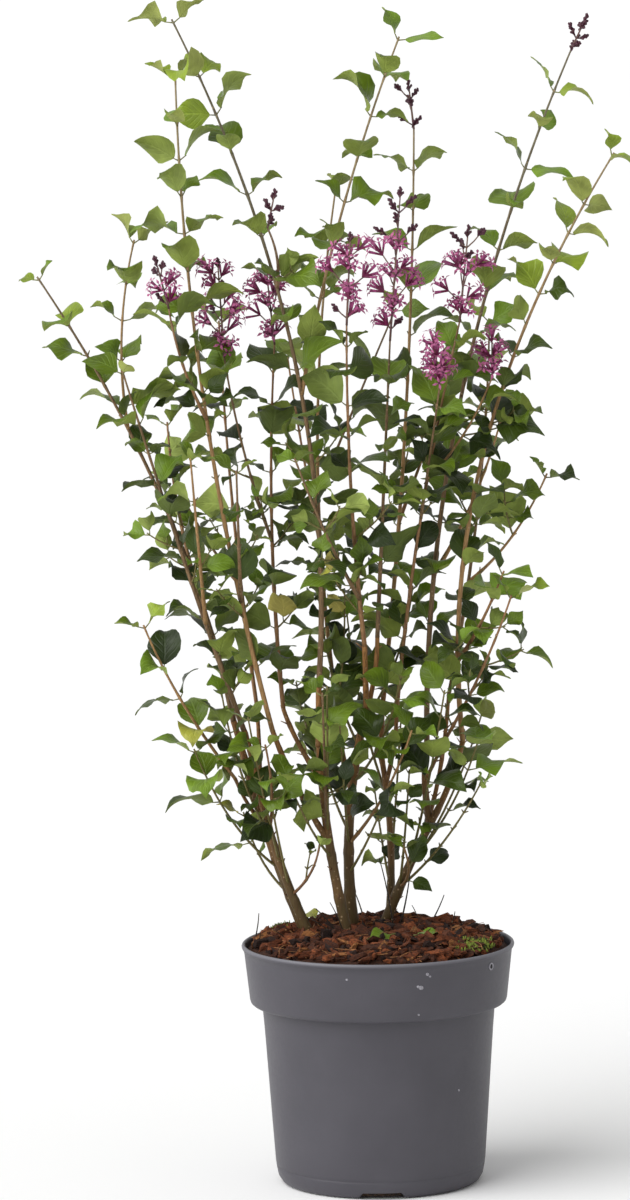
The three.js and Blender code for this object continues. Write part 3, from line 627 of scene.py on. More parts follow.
# Dead twigs that lie and stand on the mulch: foot, tip with its rise over the mound, and radius
deadTwigs = {
    "sunk": 5, "bow": (1.2, 0, 0.8), "taper": (1.25, 0.65), "sides": 6, "rings": 7,
    "twigs": [
        ((-106, -2), (-100, -4, 26), 0.55), ((-103, -10), (-99, -14, 12), 0.5),
        ((-12, -14), (18, -18, 0), 2.6), ((-30, -16), (-52, -22, 24), 0.7), ((-27, -18), (-40, -26, 30), 0.5),
        ((-33, -10), (-58, -12, 14), 0.6), ((14, 10), (2, 0, 62), 0.6), ((18, 24), (28, 20, 44), 0.7),
        ((60, 30), (66, 26, 12), 0.5), ((-66, 30), (-72, 32, 20), 0.6), ((30, -30), (44, -36, 7), 0.6),
        ((-10, 84), (-22, 90, 30), 0.6), ((44, 62), (58, 70, 22), 0.6), ((-74, -20), (-88, -26, 9), 0.5),
        ((84, -10), (92, -8, 10), 0.45), ((36, 56), (30, 50, 16), 0.5),
    ],
}

# Moss in patches by the rim: the turn and distance of each from the pot's axis, and its width
moss = {
    "patches": [(-38, 96, 15), (-30, 90, 9), (-25, 97, 8), (150, 94, 9)], "tufts": 90, "gather": 2.4,
    "within": 107, "lift": (-0.8, 1.2), "lean": 1.4, "height": (2.2, 5.4), "radius": (1.1, 0.3),
    "sides": 4, "rings": 3, "dull": 0.35, "seed": 8,
}


def makeDeadTwigs():
    heap = newHeap()
    for (x, y), (tipX, tipY, rise), radius in deadTwigs["twigs"]:
        ground = moundHeight(x, y)
        curve = bowedCurve((x, y, ground - deadTwigs["sunk"]), (tipX, tipY, ground + rise), deadTwigs["bow"])
        addTube(heap, curve, deadTwigs | {"radius": [radius * share for share in deadTwigs["taper"]]})
    deadBark = caneBark("dead twig bark", "#2a2119", "#3a2d22", "#3a2d22", "#17120e")
    finishPiece(pieceFromHeap("dead_twigs", heap, [deadBark]))


def makeMoss():
    rng = np.random.default_rng(moss["seed"])
    heap = newHeap()
    for angle, distance, spread in moss["patches"]:
        for i in range(moss["tufts"]):
            away = rng.normal(0, spread / moss["gather"], 2)
            x = distance * math.cos(math.radians(angle)) + away[0]
            y = distance * math.sin(math.radians(angle)) + away[1]
            if math.hypot(x, y) < moss["within"]:
                foot = np.array((x, y, moundHeight(x, y) + rng.uniform(*moss["lift"])))
                lean = rng.normal(0, moss["lean"], 2)
                tip = foot + (lean[0], lean[1], rng.uniform(*moss["height"]))
                addTube(heap, bowedCurve(foot, tip), moss, int(rng.random() < moss["dull"]))
    # Cushion moss is soft, matt and yellow-green, and dull where it has dried
    green = clouded("cushion moss", "#5b6a22", "#8a963a", 0.9, 3)
    dull = clouded("dull cushion moss", "#3a421a", "#5a6228", 0.9, 3)
    finishPiece(pieceFromHeap("moss", heap, [green, dull]))


# Limbs: the stems stand on the compost and the boughs leave them at a share of their length, as in
# the solids; a radius is given for each end
stems = withNames(("foot", "tip", "bow", "radius"), {
    "left_outer_stem": ((-52, 16), (-105, 14, 340), (-4, 0, 0), (5.6, 4.1)),
    "left_stem": ((-47, -4), (-97, -9, 330), (-5, 0, 0), (5.6, 4)),
    "centre_stem": ((-20, -4), (-47, -4, 370), (-5, 0, 0), (6, 4)),
    "thick_stem": ((-17, 27), (-7, 9, 400), (-11, 0, 0), (6.6, 4.4)),
    "right_stem": ((-1, 45), (46, 30, 298), (-3, 0, 0), (6, 4.6)),
    "back_stem": ((8, 70), (6, 64, 350), (6, 0, 0), (4.2, 3.3)),
})
boughs = withNames(("on", "at", "tip", "bow", "radius"), {
    "left_outer_bough": ("left_outer_stem", 1, (-119, 15, 390), (0, 0, 0), (4.1, 3.6)),
    "low_left_bough": ("left_outer_stem", 0.74, (-118, -6, 344), (-2, -4, 0), (2.4, 2)),
    "back_left_bough": ("left_outer_stem", 0.86, (-100, 54, 400), (2, 4, -8), (3, 2.3)),
    "left_bough": ("left_stem", 1, (-110, -10, 385), (1, 0, 0), (4, 3.4)),
    "fan_bough": ("centre_stem", 0.55, (-86, -15, 385), (-3, -2, 0), (3.6, 3)),
    "inner_bough": ("centre_stem", 0.84, (-77, 16, 400), (-3, 3, 0), (3.2, 2.6)),
    "centre_bough": ("centre_stem", 1, (-47, -3, 420), (0, 0, 0), (4, 3.5)),
    "front_bough": ("thick_stem", 1, (-8, -8, 455), (0, 0, 0), (3.4, 2.9)),
    "middle_bough": ("thick_stem", 0.95, (3, 12, 460), (3, 1, 0), (3, 2.6)),
    "rear_bough": ("thick_stem", 0.66, (-32, 56, 400), (-2, 8, 0), (3, 2.5)),
    "back_bough": ("back_stem", 1, (9, 66, 410), (-1, 0, 0), (3.3, 2.8)),
    "front_right_bough": ("back_stem", 0.86, (19, 34, 395), (2, 0, 0), (2.6, 2.3)),
    "right_bough": ("right_stem", 1, (44, 33, 365), (-3, 0, 0), (4.3, 3.4)),
    "right_outer_bough": ("right_stem", 0.95, (74, 18, 370), (3, -1, 0), (4, 3.2)),
    "low_right_bough": ("right_bough", 0.55, (58, 4, 372), (0, -4, 0), (2.2, 1.9)),
    "back_right_bough": ("right_stem", 0.8, (64, 84, 400), (4, 6, -10), (3, 2.3)),
})
limbs = stems | boughs

# A limb's surface: a flared foot or a collar, nodes that swell, and lumps and strips of bark that
# are so many round the limb, so long and so deep
bark = {
    "sides": 14, "ringGap": 2.6, "foot": 188.3, "flare": 1.6, "flareHeight": 60, "slim": 0.72,
    "nodeGap": 36, "nodeSwell": 0.13, "nodeWidth": 3.2, "collar": 0.3, "collarWidth": 7,
    "lumps": {"round": 2, "long": 14, "deep": 0.06, "limbStep": 9},
    "strips": {"round": 5, "long": 60, "deep": 0.05, "limbStep": 5},
}


# Ripening cane bark: olive-brown at the foot, tan above and greyer near the tips, in fine strips
# with pale lenticels
def caneBark(name, low, middle, high, streak):
    material, tree, shader, place = newMaterial(name, middle, 0.58)
    strips = addNode(tree, "Mapping", {"Vector": place, "Scale": (1.0, 1.0, 0.12)})
    grain = addNode(tree, "TexNoise", {"Vector": strips, "Scale": scaleFor(1.1), "Detail": 4.0})
    cloud = addNode(tree, "TexNoise", {"Vector": place, "Scale": scaleFor(33), "Detail": 2.0})
    height = addNode(tree, "SeparateXYZ", {"Vector": place}).outputs["Z"]
    wander = addNode(tree, "Math", {0: cloud, 1: 0.16, 2: height}, operation="MULTIPLY_ADD")
    shades = zip((0.32, 0.5, 0.74, 0.92), map(linear, (low, middle, middle, high)))
    shade = addNode(tree, "ValToRGB", {"Fac": wander}, stops=shades)
    amount = addNode(tree, "MapRange", {"Value": grain, "From Min": 0.42, "From Max": 0.66, "To Max": 0.7})
    streaked = addNode(tree, "Mix", {"Factor": amount, 6: shade, 7: linear(streak)}, data_type="RGBA")
    pores = addNode(tree, "TexVoronoi", {"Vector": place, "Scale": scaleFor(4.8)})
    pore = addNode(tree, "MapRange", {"Value": pores, "From Min": 0.2, "From Max": 0.12, "To Max": 0.55})
    dotted = addNode(tree, "Mix", {"Factor": pore, 6: streaked.outputs[2], 7: linear("#b59a78")},
                     data_type="RGBA")
    bump = addNode(tree, "Bump", {"Height": grain, "Distance": 0.7 * mm})
    fillInputs(tree, shader, {"Base Color": dotted.outputs[2], "Specular IOR Level": 0.35, "Normal": bump})
    return material


def growLimbs():
    grown = {}
    for name, plan in limbs.items():
        if name in stems:
            start = (*plan["foot"], bark["foot"])
        else:
            start = pointOn(grown[plan["on"]]["curve"], plan["at"])
        curve = bowedCurve(start, plan["tip"], plan["bow"])
        grown[name] = {"curve": curve, "radius": plan["radius"], "length": lengthOf(curve)}
    return grown


# How much a limb is thicker than its even taper: a flare or collar at its foot, and swollen nodes
def swelling(isStem, limb, distance):
    node = (distance % bark["nodeGap"]) - bark["nodeGap"] / 2
    swell = 1 + bark["nodeSwell"] * math.exp(-(node / bark["nodeWidth"]) ** 2)
    if isStem:
        return swell + bark["flare"] / limb["radius"][0] * math.exp(-distance / bark["flareHeight"])
    return swell + bark["collar"] * math.exp(-distance / bark["collarWidth"])


def barkRelief(kind, angle, distance, seed):
    across = kind["round"] * math.cos(angle), kind["round"] * math.sin(angle)
    return kind["deep"] * noise.noise(Vector((*across, distance / kind["long"] + seed * kind["limbStep"])))


# A cylinder bent along its limb, with strips, nodes and lumps of bark
def limbShape(isStem, limb, seed):
    steps = max(4, round(limb["length"] / bark["ringGap"]))
    shape = bmesh.new()
    bmesh.ops.create_cone(shape, cap_ends=True, segments=bark["sides"], radius1=1, radius2=1, depth=1)
    upright = [edge for edge in shape.edges if abs(edge.verts[0].co.z - edge.verts[1].co.z) > 0.5]
    bmesh.ops.subdivide_edges(shape, edges=upright, cuts=steps - 1)
    for vertex in shape.verts:
        t = vertex.co.z + 0.5
        angle = math.atan2(vertex.co.y, vertex.co.x)
        along, outward = outwardOn(limb["curve"], t, angle)
        distance = t * limb["length"]
        radius = between(limb["radius"], t) * bark["slim"] * swelling(isStem, limb, distance)
        radius *= 1 + sum(barkRelief(bark[kind], angle, distance, seed) for kind in ("lumps", "strips"))
        spot = pointOn(limb["curve"], t) + radius * outward
        if isStem and t < 0.001:
            spot[2] = bark["foot"]
        vertex.co = spot
    bmesh.ops.recalc_face_normals(shape, faces=shape.faces)
    return shape


def makeLimbs(grown):
    ripe = caneBark("ripe cane bark", "#524324", "#9f7040", "#8c7a58", "#4f371f")
    for seed, (name, limb) in enumerate(grown.items()):
        shape = limbShape(name in stems, limb, seed)
        finishPiece(pieceFromShape(name + "_bark", shape, [ripe]), [name])
    print("stems and boughs")


# Masses of foliage: each grows on from its bough by the solids' rule, carried to finer twigs.
# A shoot is its tip, its bow, and where it leaves the mass's first shoot. The low masses have small
# leaves and leave their stem part of the way up.
masses = withNames(("on", "radius", "from", "pair", "turn", "seed", "shoots", "leaf", "at"), {
    "outer_left_foliage": ("left_outer_bough", 3.2, 0.05, 33, 20, 11, [
        ((-276, -14, 768), (22, 0, 0)), ((-196, 24, 796), (-8, 0, 0), 0.66),
        ((-172, 62, 640), (-4, 0, 0), 0.3)]),
    "low_left_foliage": ("low_left_bough", 2, 0.04, 30, 10, 12, [
        ((-192, -34, 478), (-6, 0, 0))]),
    "back_left_foliage": ("back_left_bough", 2.3, 0.04, 41, 40, 13, [
        ((-128, 124, 722), (-4, 12, 0)), ((-178, 96, 610), (0, 8, -10), 0.3)]),
    "left_foliage": ("left_bough", 3, 0.04, 30, 60, 14, [
        ((-206, -30, 690), (-2, 0, 0)), ((-150, -66, 620), (0, -6, 0), 0.3)]),
    "fan_foliage": ("fan_bough", 2.8, 0.04, 36, 15, 15, [
        ((-159, 6, 932), (-16, -12, 0)), ((-166, -54, 742), (-4, -6, 0), 0.48),
        ((-112, -84, 610), (0, -8, 0), 0.2)]),
    "inner_foliage": ("inner_bough", 2.5, 0.05, 32, 75, 16, [
        ((-80, 34, 706), (-6, 0, 0)), ((-122, 4, 698), (-4, 0, 0), 0.46)]),
    "tall_foliage": ("centre_bough", 3.1, 0.03, 40, 5, 17, [
        ((-161, -6, 979), (40, 0, 0)), ((28, 40, 962), (-8, 4, 0), 0.44), ((-84, -22, 806), (4, 0, 0), 0.6)]),
    "rear_foliage": ("rear_bough", 2.4, 0.03, 43, 50, 18, [
        ((-26, 92, 838), (-16, 4, 0)), ((-70, 146, 690), (0, 10, -8), 0.3),
        ((24, 140, 730), (0, 12, 0), 0.4)]),
    "front_foliage": ("front_bough", 2.6, 0.04, 30, 30, 19, [
        ((-20, -84, 728), (-4, 0, 0)), ((-64, -92, 620), (0, -8, -6), 0.15)]),
    "middle_foliage": ("middle_bough", 2.5, 0.04, 32, 65, 20, [
        ((16, -38, 712), (0, 0, 0))]),
    "back_foliage": ("back_bough", 2.6, 0.03, 40, 25, 21, [
        ((40, 76, 884), (6, 0, 0)), ((80, 124, 690), (0, 10, 0), 0.3)]),
    "front_right_foliage": ("front_right_bough", 2.2, 0.04, 32, 55, 22, [
        ((74, -26, 726), (-6, 0, 0)), ((56, -66, 676), (0, -4, 0), 0.5), ((101, -16, 680), (4, 0, -4), 0.6)]),
    "right_foliage": ("right_bough", 3.2, 0.03, 40, 12, 23, [
        ((171, 28, 949), (-32, 0, 0)), ((112, 78, 640), (4, 6, -6), 0.25)]),
    "right_outer_foliage": ("right_outer_bough", 3, 0.04, 31, 35, 24, [
        ((204, -14, 864), (-45, 0, 0)), ((108, -44, 520), (0, 0, -6), 0.14)]),
    "low_right_foliage": ("low_right_bough", 1.9, 0.04, 28, 0, 25, [
        ((114, -46, 500), (4, 0, 0))]),
    "back_right_foliage": ("back_right_bough", 2.3, 0.04, 41, 45, 26, [
        ((104, 132, 720), (8, 10, 0)), ((150, 84, 590), (4, 6, -8), 0.3)]),
    "low_front_foliage": ("centre_stem", 1.9, 0.1, 24, 45, 29, [((-44, -72, 424), (0, -8, -4))], 0.82, 0.62),
    "low_middle_foliage": ("thick_stem", 1.8, 0.12, 24, 15, 30, [((30, -44, 388), (4, -6, -4))], 0.78, 0.45),
    "low_side_foliage": ("left_stem", 1.8, 0.14, 24, 30, 31, [((-92, -62, 380), (4, -6, -4))], 0.8, 0.8),
    "low_centre_sprig": ("right_stem", 1.4, 0.3, 16, 20, 27, [((22, -6, 286), (6, -4, -4))], 0.6, 0.5),
    "low_left_sprig": ("left_stem", 1.4, 0.35, 16, 70, 28, [((-48, -36, 292), (4, -6, -2))], 0.6, 0.4),
})

# Leaf pairs along a shoot, and how they open from it, in millimetres and degrees
growth = {
    "leavesFrom": 0.1, "sideFrom": 0.12, "pairTurn": 90, "pairSpread": (-20, 20), "pairStretch": (1.2, 0.76),
    "tipGap": 3, "flowerGap": 0.4, "youngFrom": 0.88, "youngSize": 0.7,
    "open": (46, 80), "tipOpen": (42, 72), "roll": (-35, 35), "hangs": 0.09, "hangRoll": 70,
    "steepestHang": 0.35, "skyward": 0.5,
}

# Where leaves have been shed, by height and, above a height, by how far out in the crown they were
shedding = {
    "heights": (308, 345, 440, 480, 580, 620, 700, 740),
    "shares": (0.72, 0.24, 0.08, 0.34, 0.44, 0.16, 0.06, 0.0),
    "outwards": (0.78, 1.2), "outwardsAbove": 430,
    "scar": {"length": (2, 6), "radius": (0.75, 0.45), "rise": 0.5, "sides": 4, "rings": 2},
}

# How light a leaf is, by height, age, place in the crown and chance, and the least light of each tone;
# low down and inside the crown this is partly older leaves and partly painted shade
toning = {
    "heights": (250, 550, 640, 760, 950), "lights": (0.13, 0.14, 0.08, 0.3, 0.47),
    "young": 0.22, "outer": 0.16, "chance": 0.56, "yellowBelow": 560, "yellowShare": 0.014,
    "steps": {"young": 0.72, "fresh": 0.5, "full": 0.3, "deep": 0.12},
}

crown = {"middle": (-30, 20), "reach": 150}

# Shoots take the first barks in turn, and twigs and stubs the numbered ones
shootLook = {
    "sides": 8, "ringGap": 5, "slim": 0.78, "tipRadius": 0.75, "branchTaper": 0.85, "nodeSwell": 0.35,
    "nodeWidth": 2.2, "blend": 24, "stemCollar": 0.4, "forkCollar": 0.5,
    "barks": 3, "stubBark": 1, "twigBark": 3,
}

# Twigs with a few small leaves, which leave the lower parts of the shoots beside some pairs
twigs = {
    "share": 0.2, "upTo": 0.55, "length": (14, 52), "lean": 0.7, "bow": 0.06, "radius": (0.9, 0.55),
    "from": 0.34, "pair": 14, "leaf": (0.42, 0.8), "sides": 5, "rings": 6,
}

leafSlots = []  # one entry for each leaf: root, direction, upper side, length, tone, age and its own draws


# Where the leaf pairs sit along a shoot: closer together towards the tip, the last at the tip
def pairPlaces(length, start, pair, endsInFlower):
    places = []
    t = start
    while t < 1:
        places.append(t)
        t += pair * between(growth["pairStretch"], t) / length
    if endsInFlower:
        return [t for t in places if (1 - t) * length > pair * growth["flowerGap"]]
    places[-1] = 1 - growth["tipGap"] / length
    return places


def newShoot(curve, start, pair, endsInFlower=False):
    length = lengthOf(curve)
    places = pairPlaces(length, start, pair, endsInFlower)
    return {"curve": curve, "length": length, "places": places, "endsInFlower": endsInFlower}


# The direction and upper side of a leaf that opens from a shoot
def leafPose(curve, t, turn, opened, roll):
    along, outward = outwardOn(curve, t, turn)
    reach = outward * math.sin(opened) + along * math.cos(opened)
    reach[2] = max(reach[2], -growth["steepestHang"])
    reach = unit(reach)
    skyward = along * growth["skyward"] + up
    top = unit(skyward - reach * skyward.dot(reach))
    top = top * math.cos(roll) + np.cross(reach, top) * math.sin(roll)
    return reach, top


# How far out in the crown a spot is, from 0 by its middle line to 1
def outerShare(spot):
    x, y = crown["middle"]
    return min(1, math.hypot(spot[0] - x, spot[1] - y) / crown["reach"])


# Leaves are lighter high up and at young tips, and darker low down and inside: the young tips are
# their own paler green, the rest is partly older leaves and partly painted light and shade
def leafTone(spot, t, random):
    # Painted light and shade: the tone is lighter high up and outside the crown, darker low down and inside
    # it
    light = np.interp(spot[2], toning["heights"], toning["lights"])
    light += toning["young"] * t ** 4 + toning["outer"] * outerShare(spot)
    light += toning["chance"] * (random() - 0.5)
    if spot[2] < toning["yellowBelow"] and random() < toning["yellowShare"]:
        return "yellowing"
    for tone, least in toning["steps"].items():
        if light > least:
            return tone
    return "shaded"


# A pair of leaves, or the short stalk that a shed one has left
def addLeafPair(heap, curve, t, turn, size, isTip, random):
    spot = pointOn(curve, t)
    shed = np.interp(spot[2], shedding["heights"], shedding["shares"])
    if spot[2] > shedding["outwardsAbove"]:
        shed *= between(shedding["outwards"], outerShare(spot))
    scar = shedding["scar"]
    for opposite in (0, 180):
        opened = math.radians(between(growth["tipOpen"] if isTip else growth["open"], random()))
        roll = between(growth["roll"], (random() + random()) / 2)
        if random() < growth["hangs"]:
            roll = math.copysign(growth["hangRoll"], roll)
        reach, top = leafPose(curve, t, math.radians(turn + opposite), opened, math.radians(roll))
        if not isTip and random() < shed:
            end = spot + unit(reach + up * scar["rise"]) * between(scar["length"], random())
            addTube(heap, bowedCurve(spot, end), scar, shootLook["twigBark"])
            continue
        larger = np.interp(spot[2], *leaf["larger"])
        leafSlots.append({
            "root": spot, "along": reach, "up": top,
            "length": leaf["length"] * size * between(leaf["spread"], random()) * larger,
            "tone": leafTone(spot, t, random), "young": isTip, "draws": [random() for draw in range(7)],
        })


def sizeAlong(t):
    return between((1, growth["youngSize"]), max(0, (t - growth["youngFrom"]) / (1 - growth["youngFrom"])))


# Sets the leaf pairs along a shoot, each pair with draws of its own
def leafShoot(heap, mass, shoot, number, size, hasTwigs=False):
    last = len(shoot["places"]) - 1
    for i, t in enumerate(shoot["places"]):
        random = makeRandom(mass["seed"] * 1000 + number * 40 + i)
        isTip = i == last and not shoot["endsInFlower"]
        turn = mass["turn"] + growth["pairTurn"] * (last - i) + between(growth["pairSpread"], random())
        addLeafPair(heap, shoot["curve"], t, turn, size * sizeAlong(t), isTip, random)
        if hasTwigs and t < twigs["upTo"]:
            for opposite in (0, 180):
                if random() < twigs["share"]:
                    addTwig(heap, mass, shoot, number, i, math.radians(turn + opposite), random)


def addTwig(heap, mass, shoot, number, i, turn, random):
    t = shoot["places"][i]
    along, outward = outwardOn(shoot["curve"], t, turn)
    length = between(twigs["length"], random() ** 1.5)
    start = pointOn(shoot["curve"], t)
    tip = start + (outward + along) * length * twigs["lean"]
    curve = bowedCurve(start, tip, outward * length * twigs["bow"])
    addTube(heap, curve, twigs, shootLook["twigBark"])
    twig = newShoot(curve, twigs["from"], twigs["pair"])
    leafShoot(heap, mass, twig, (number + 1) * 7 + i, between(twigs["leaf"], random()))


# A shoot's radius: eased in from what carries it, tapering, and swollen at each pair of leaves
def shootRadius(shoot, t):
    distance = t * shoot["length"]
    radius = between(shoot["radius"], t) + shoot["collar"] * math.exp(-distance / shootLook["blend"])
    for place in shoot["places"]:
        gap = (t - place) * shoot["length"]
        radius += shootLook["nodeSwell"] * math.exp(-(gap / shootLook["nodeWidth"]) ** 2)
    return radius


# The shoots of one mass: the first grows on from its bough or stem, and the others leave the first
def growShoots(name, mass, grown):
    shoots = []
    for number, (tip, bow, *at) in enumerate(mass["shoots"]):
        if number == 0:
            limb = grown[mass["on"]]
            start = pointOn(limb["curve"], mass.get("at", 1))
            radius = mass["radius"] * shootLook["slim"]
            step = limb["radius"][1] * bark["slim"] - radius
            collar = shootLook["stemCollar"] if "at" in mass else max(0, step)
            leavesFrom = max(mass["from"], growth["leavesFrom"])
        else:
            start = pointOn(shoots[0]["curve"], at[0])
            radius = between(shoots[0]["radius"], at[0]) * shootLook["branchTaper"]
            collar = shootLook["forkCollar"]
            leavesFrom = growth["sideFrom"]
        shoot = newShoot(bowedCurve(start, tip, bow), leavesFrom, mass["pair"], (name, number) in flowering)
        shoots.append(shoot | {"radius": (radius, shootLook["tipRadius"]), "collar": collar})
    return shoots


# Short leafy shoots low on the stems: stem, share of its length, tip, bow and size of leaf
lowShoots = {
    "radius": (1.25, 0.7), "from": 0.3, "pair": 23, "pairShare": (0.5, 1), "larger": 1.08, "sides": 6,
    "ringGap": 8, "firstSeed": 50, "turnStep": 37,
    "shoots": [
        ("left_outer_stem", 0.5, (-152, -22, 372), (-4, 0, -10), 1.0),
        ("left_stem", 0.6, (-106, -52, 402), (0, -6, -6), 0.9),
        ("left_stem", 0.44, (-90, -34, 342), (0, -4, -4), 0.75),
        ("centre_stem", 0.48, (-74, -52, 350), (0, -6, -6), 0.82),
        ("thick_stem", 0.45, (-30, -52, 398), (0, -8, -8), 0.95),
        ("thick_stem", 0.33, (10, -32, 336), (0, -6, -4), 0.8),
        ("right_stem", 0.5, (28, -22, 352), (0, -6, -6), 0.72),
        ("right_stem", 0.72, (86, -12, 374), (4, -4, -6), 0.9),
        ("right_stem", 0.5, (88, -20, 340), (2, -4, -6), 0.8),
        ("back_stem", 0.45, (24, 112, 384), (0, 8, -8), 0.9),
        ("thick_stem", 0.5, (-52, 88, 384), (-2, 8, -8), 0.9),
        ("left_outer_stem", 0.62, (-122, 74, 390), (-2, 8, -8), 0.9),
        ("right_stem", 0.6, (92, 82, 384), (4, 6, -8), 0.9),
        ("back_stem", 0.3, (0, 104, 318), (0, 6, -6), 0.65),
        ("left_outer_stem", 0.36, (-112, 20, 312), (-4, 2, -6), 0.62),
        ("centre_stem", 0.6, (-40, -60, 428), (0, -8, -8), 0.9),
        ("right_stem", 0.66, (58, -34, 420), (0, -8, -8), 0.85),
        ("left_stem", 0.75, (-128, -30, 420), (-4, -4, -8), 0.85),
        ("thick_stem", 0.7, (22, -30, 432), (4, -6, -8), 0.85),
        ("thick_stem", 0.6, (-66, 40, 420), (-6, 4, -8), 0.85),
        ("centre_stem", 0.9, (-24, 30, 500), (6, 6, -8), 0.95),
        ("thick_stem", 0.85, (-46, 42, 492), (-4, 6, -8), 1.0),
        ("back_stem", 0.8, (-22, 88, 474), (-4, 4, -8), 1.0),
        ("thick_stem", 0.95, (34, 44, 500), (6, 4, -8), 0.95),
    ],
}

# Stubs that shed side shoots have left in pairs along the stems and boughs
stubs = {
    "from": 26, "gap": 30, "gapSpread": (0.7, 1.3), "share": 0.6, "length": (2.5, 6.5), "sunk": 0.8,
    "lean": 0.8, "radius": (0.75, 0.35), "sides": 5, "rings": 2, "firstSeed": 900,
}


def growLowShoots(heap, grown):
    for number, (name, at, tip, bow, size) in enumerate(lowShoots["shoots"]):
        curve = bowedCurve(pointOn(grown[name]["curve"], at), tip, bow)
        shoot = newShoot(curve, lowShoots["from"], lowShoots["pair"] * between(lowShoots["pairShare"], size))
        addTube(heap, curve, lowShoots, shootLook["twigBark"])
        mass = {"seed": lowShoots["firstSeed"] + number, "turn": lowShoots["turnStep"] * number}
        leafShoot(heap, mass, shoot, 0, size * lowShoots["larger"])


def growStubs(heap, grown):
    for number, limb in enumerate(grown.values()):
        random = makeRandom(stubs["firstSeed"] + number)
        distance = stubs["from"]
        while distance < limb["length"]:
            t = distance / limb["length"]
            turn = random() * math.tau
            for opposite in (0, math.pi):
                if random() < stubs["share"]:
                    along, outward = outwardOn(limb["curve"], t, turn + opposite)
                    skin = between(limb["radius"], t) * bark["slim"] * stubs["sunk"]
                    root = pointOn(limb["curve"], t) + outward * skin
                    end = root + (outward + along * stubs["lean"]) * between(stubs["length"], random())
                    addTube(heap, bowedCurve(root, end), stubs, shootLook["stubBark"])
            distance += stubs["gap"] * between(stubs["gapSpread"], random())


def growMasses(grown):
    heap = newHeap()
    shootsOf = {}
    for name, mass in masses.items():
        shootsOf[name] = growShoots(name, mass, grown)
        for number, shoot in enumerate(shootsOf[name]):
            finish = (mass["seed"] * 7 + number) % shootLook["barks"]
            addTube(heap, shoot["curve"], shootLook | {"radius": lambda t: shootRadius(shoot, t)}, finish)
            leafShoot(heap, mass, shoot, number, mass.get("leaf", 1), hasTwigs=True)
    growLowShoots(heap, grown)
    growStubs(heap, grown)
    # The bark of the shoots is younger and paler than the canes', and still green on the twigs
    barks = [
        caneBark("tan shoot bark", "#7d603d", "#aa8457", "#968664", "#785a3a"),
        caneBark("red-brown shoot bark", "#735336", "#9c7550", "#857560", "#674630"),
        caneBark("grey-brown shoot bark", "#604d33", "#866a4b", "#756e57", "#504030"),
        caneBark("green twig bark", "#6a6234", "#7a7142", "#7c7a4c", "#5c5330"),
    ]
    finishPiece(pieceFromHeap("shoots_and_twigs", heap, barks), list(masses))
    print("shoots with", len(leafSlots), "leaves to come")
    return shootsOf


# Leaves: one outline bent, folded, waved and twisted, upper and lower skins closed along the rim.
# A leaf is larger higher up, and its width is given by the share of its length in rows.
leaf = {
    "length": 37, "larger": ((540, 640, 800, 950), (1.0, 1.05, 1.05, 1.12)), "spread": (0.62, 1.24),
    "halfWidth": 0.375, "widthSpread": (0.84, 1.14), "thickness": 0.35, "ribThickness": 0.7,
    "rows": (0.02, 0.08, 0.17, 0.28, 0.4, 0.52, 0.63, 0.73, 0.82, 0.9, 0.96),
    "widths": (0.12, 0.36, 0.71, 0.96, 1.03, 0.94, 0.74, 0.5, 0.29, 0.14, 0.06),
    "columns": (-1, -0.5, 0, 0.5, 1),
    "bend": (28, 92), "youngBend": 0.6, "rise": 0.34, "curl": 1.2, "droop": 1.45,
    "fold": (-3, 25), "youngFold": 1.6, "cup": 0.25, "twist": (-26, 26),
    "wave": (0.1, 0.34), "waveDepth": 1.8, "ripples": (7.2, 2.1), "fineRipples": (12.5, 0.26),
    "stalk": (3.6, 7), "longestStalk": 0.3, "stalkRadius": (0.78, 0.48), "stalkEnds": (-0.6, 1.5),
    "stalkDrop": 0.25,
}

# Upper and lower colours of each tone; deep and shaded are darker greens, partly older leaves and partly
# painted shade inside the crown
leafTones = {
    "young": ("#80942b", "#969f52"), "fresh": ("#698424", "#8b9b4a"), "full": ("#5a7016", "#839240"),
    "deep": ("#37480e", "#687732"), "shaded": ("#25330d", "#56642b"), "yellowing": ("#939438", "#bbb05d"),
}

# Leaves that have dropped on the mulch: place, turn, tone and length
fallen = {
    "leaves": [((30, -40), 40, "fresh", 26), ((14, -40), 206, "full", 23), ((-52, 58), 120, "yellowing", 28)],
    "lift": 4.4, "slope": -0.05, "up": (0.1, -0.25, 0.96), "draws": [0.05, 0.1, 0.9, 0.5, 0.3, 0.2, 0.4],
}

# A leaf whose blade would cross a cane or a leaf tries these turns, in degrees, then a smaller size
room = {
    "asides": (0, 14, -14, 28, -28, 42, -42), "lifts": (0, 16, -16, 32), "near": 58,
    "caneCost": 10, "shrink": 0.88, "tries": 3, "footFaces": 8, "margin": 0.3,
}


# The faces of a leaf and their finishes: 0 for its upper skin, 1 for its lower one, 2 for its stalk
def leafFaceList():
    rows, columns = len(leaf["rows"]), len(leaf["columns"])
    base, tip, under = 0, 1 + rows * columns, 2 + rows * columns
    upper = [[1 + r * columns + c for c in range(columns)] for r in range(rows)]
    lower = [[upper[r][0]] + [under + r * 3 + c for c in range(3)] + [upper[r][-1]] for r in range(rows)]
    faces, finishes = [], []
    for grid, finish in ((upper, 0), (lower, 1)):
        part = [(base, grid[0][c + 1], grid[0][c]) for c in range(columns - 1)]
        for low, high in zip(grid, grid[1:]):
            part += [(low[c], low[c + 1], high[c + 1], high[c]) for c in range(columns - 1)]
        part += [(grid[-1][c], grid[-1][c + 1], tip) for c in range(columns - 1)]
        faces += part if finish == 0 else [(face[0], *face[:0:-1]) for face in part]
        finishes += [finish] * len(part)
    stalk = under + rows * 3
    for j in range(3):
        k = (j + 1) % 3
        faces.append((stalk + j, stalk + k, stalk + 3 + k, stalk + 3 + j))
    faces += [(stalk + 2, stalk + 1, stalk), (stalk + 3, stalk + 4, stalk + 5)]
    return faces, finishes + [2] * 5


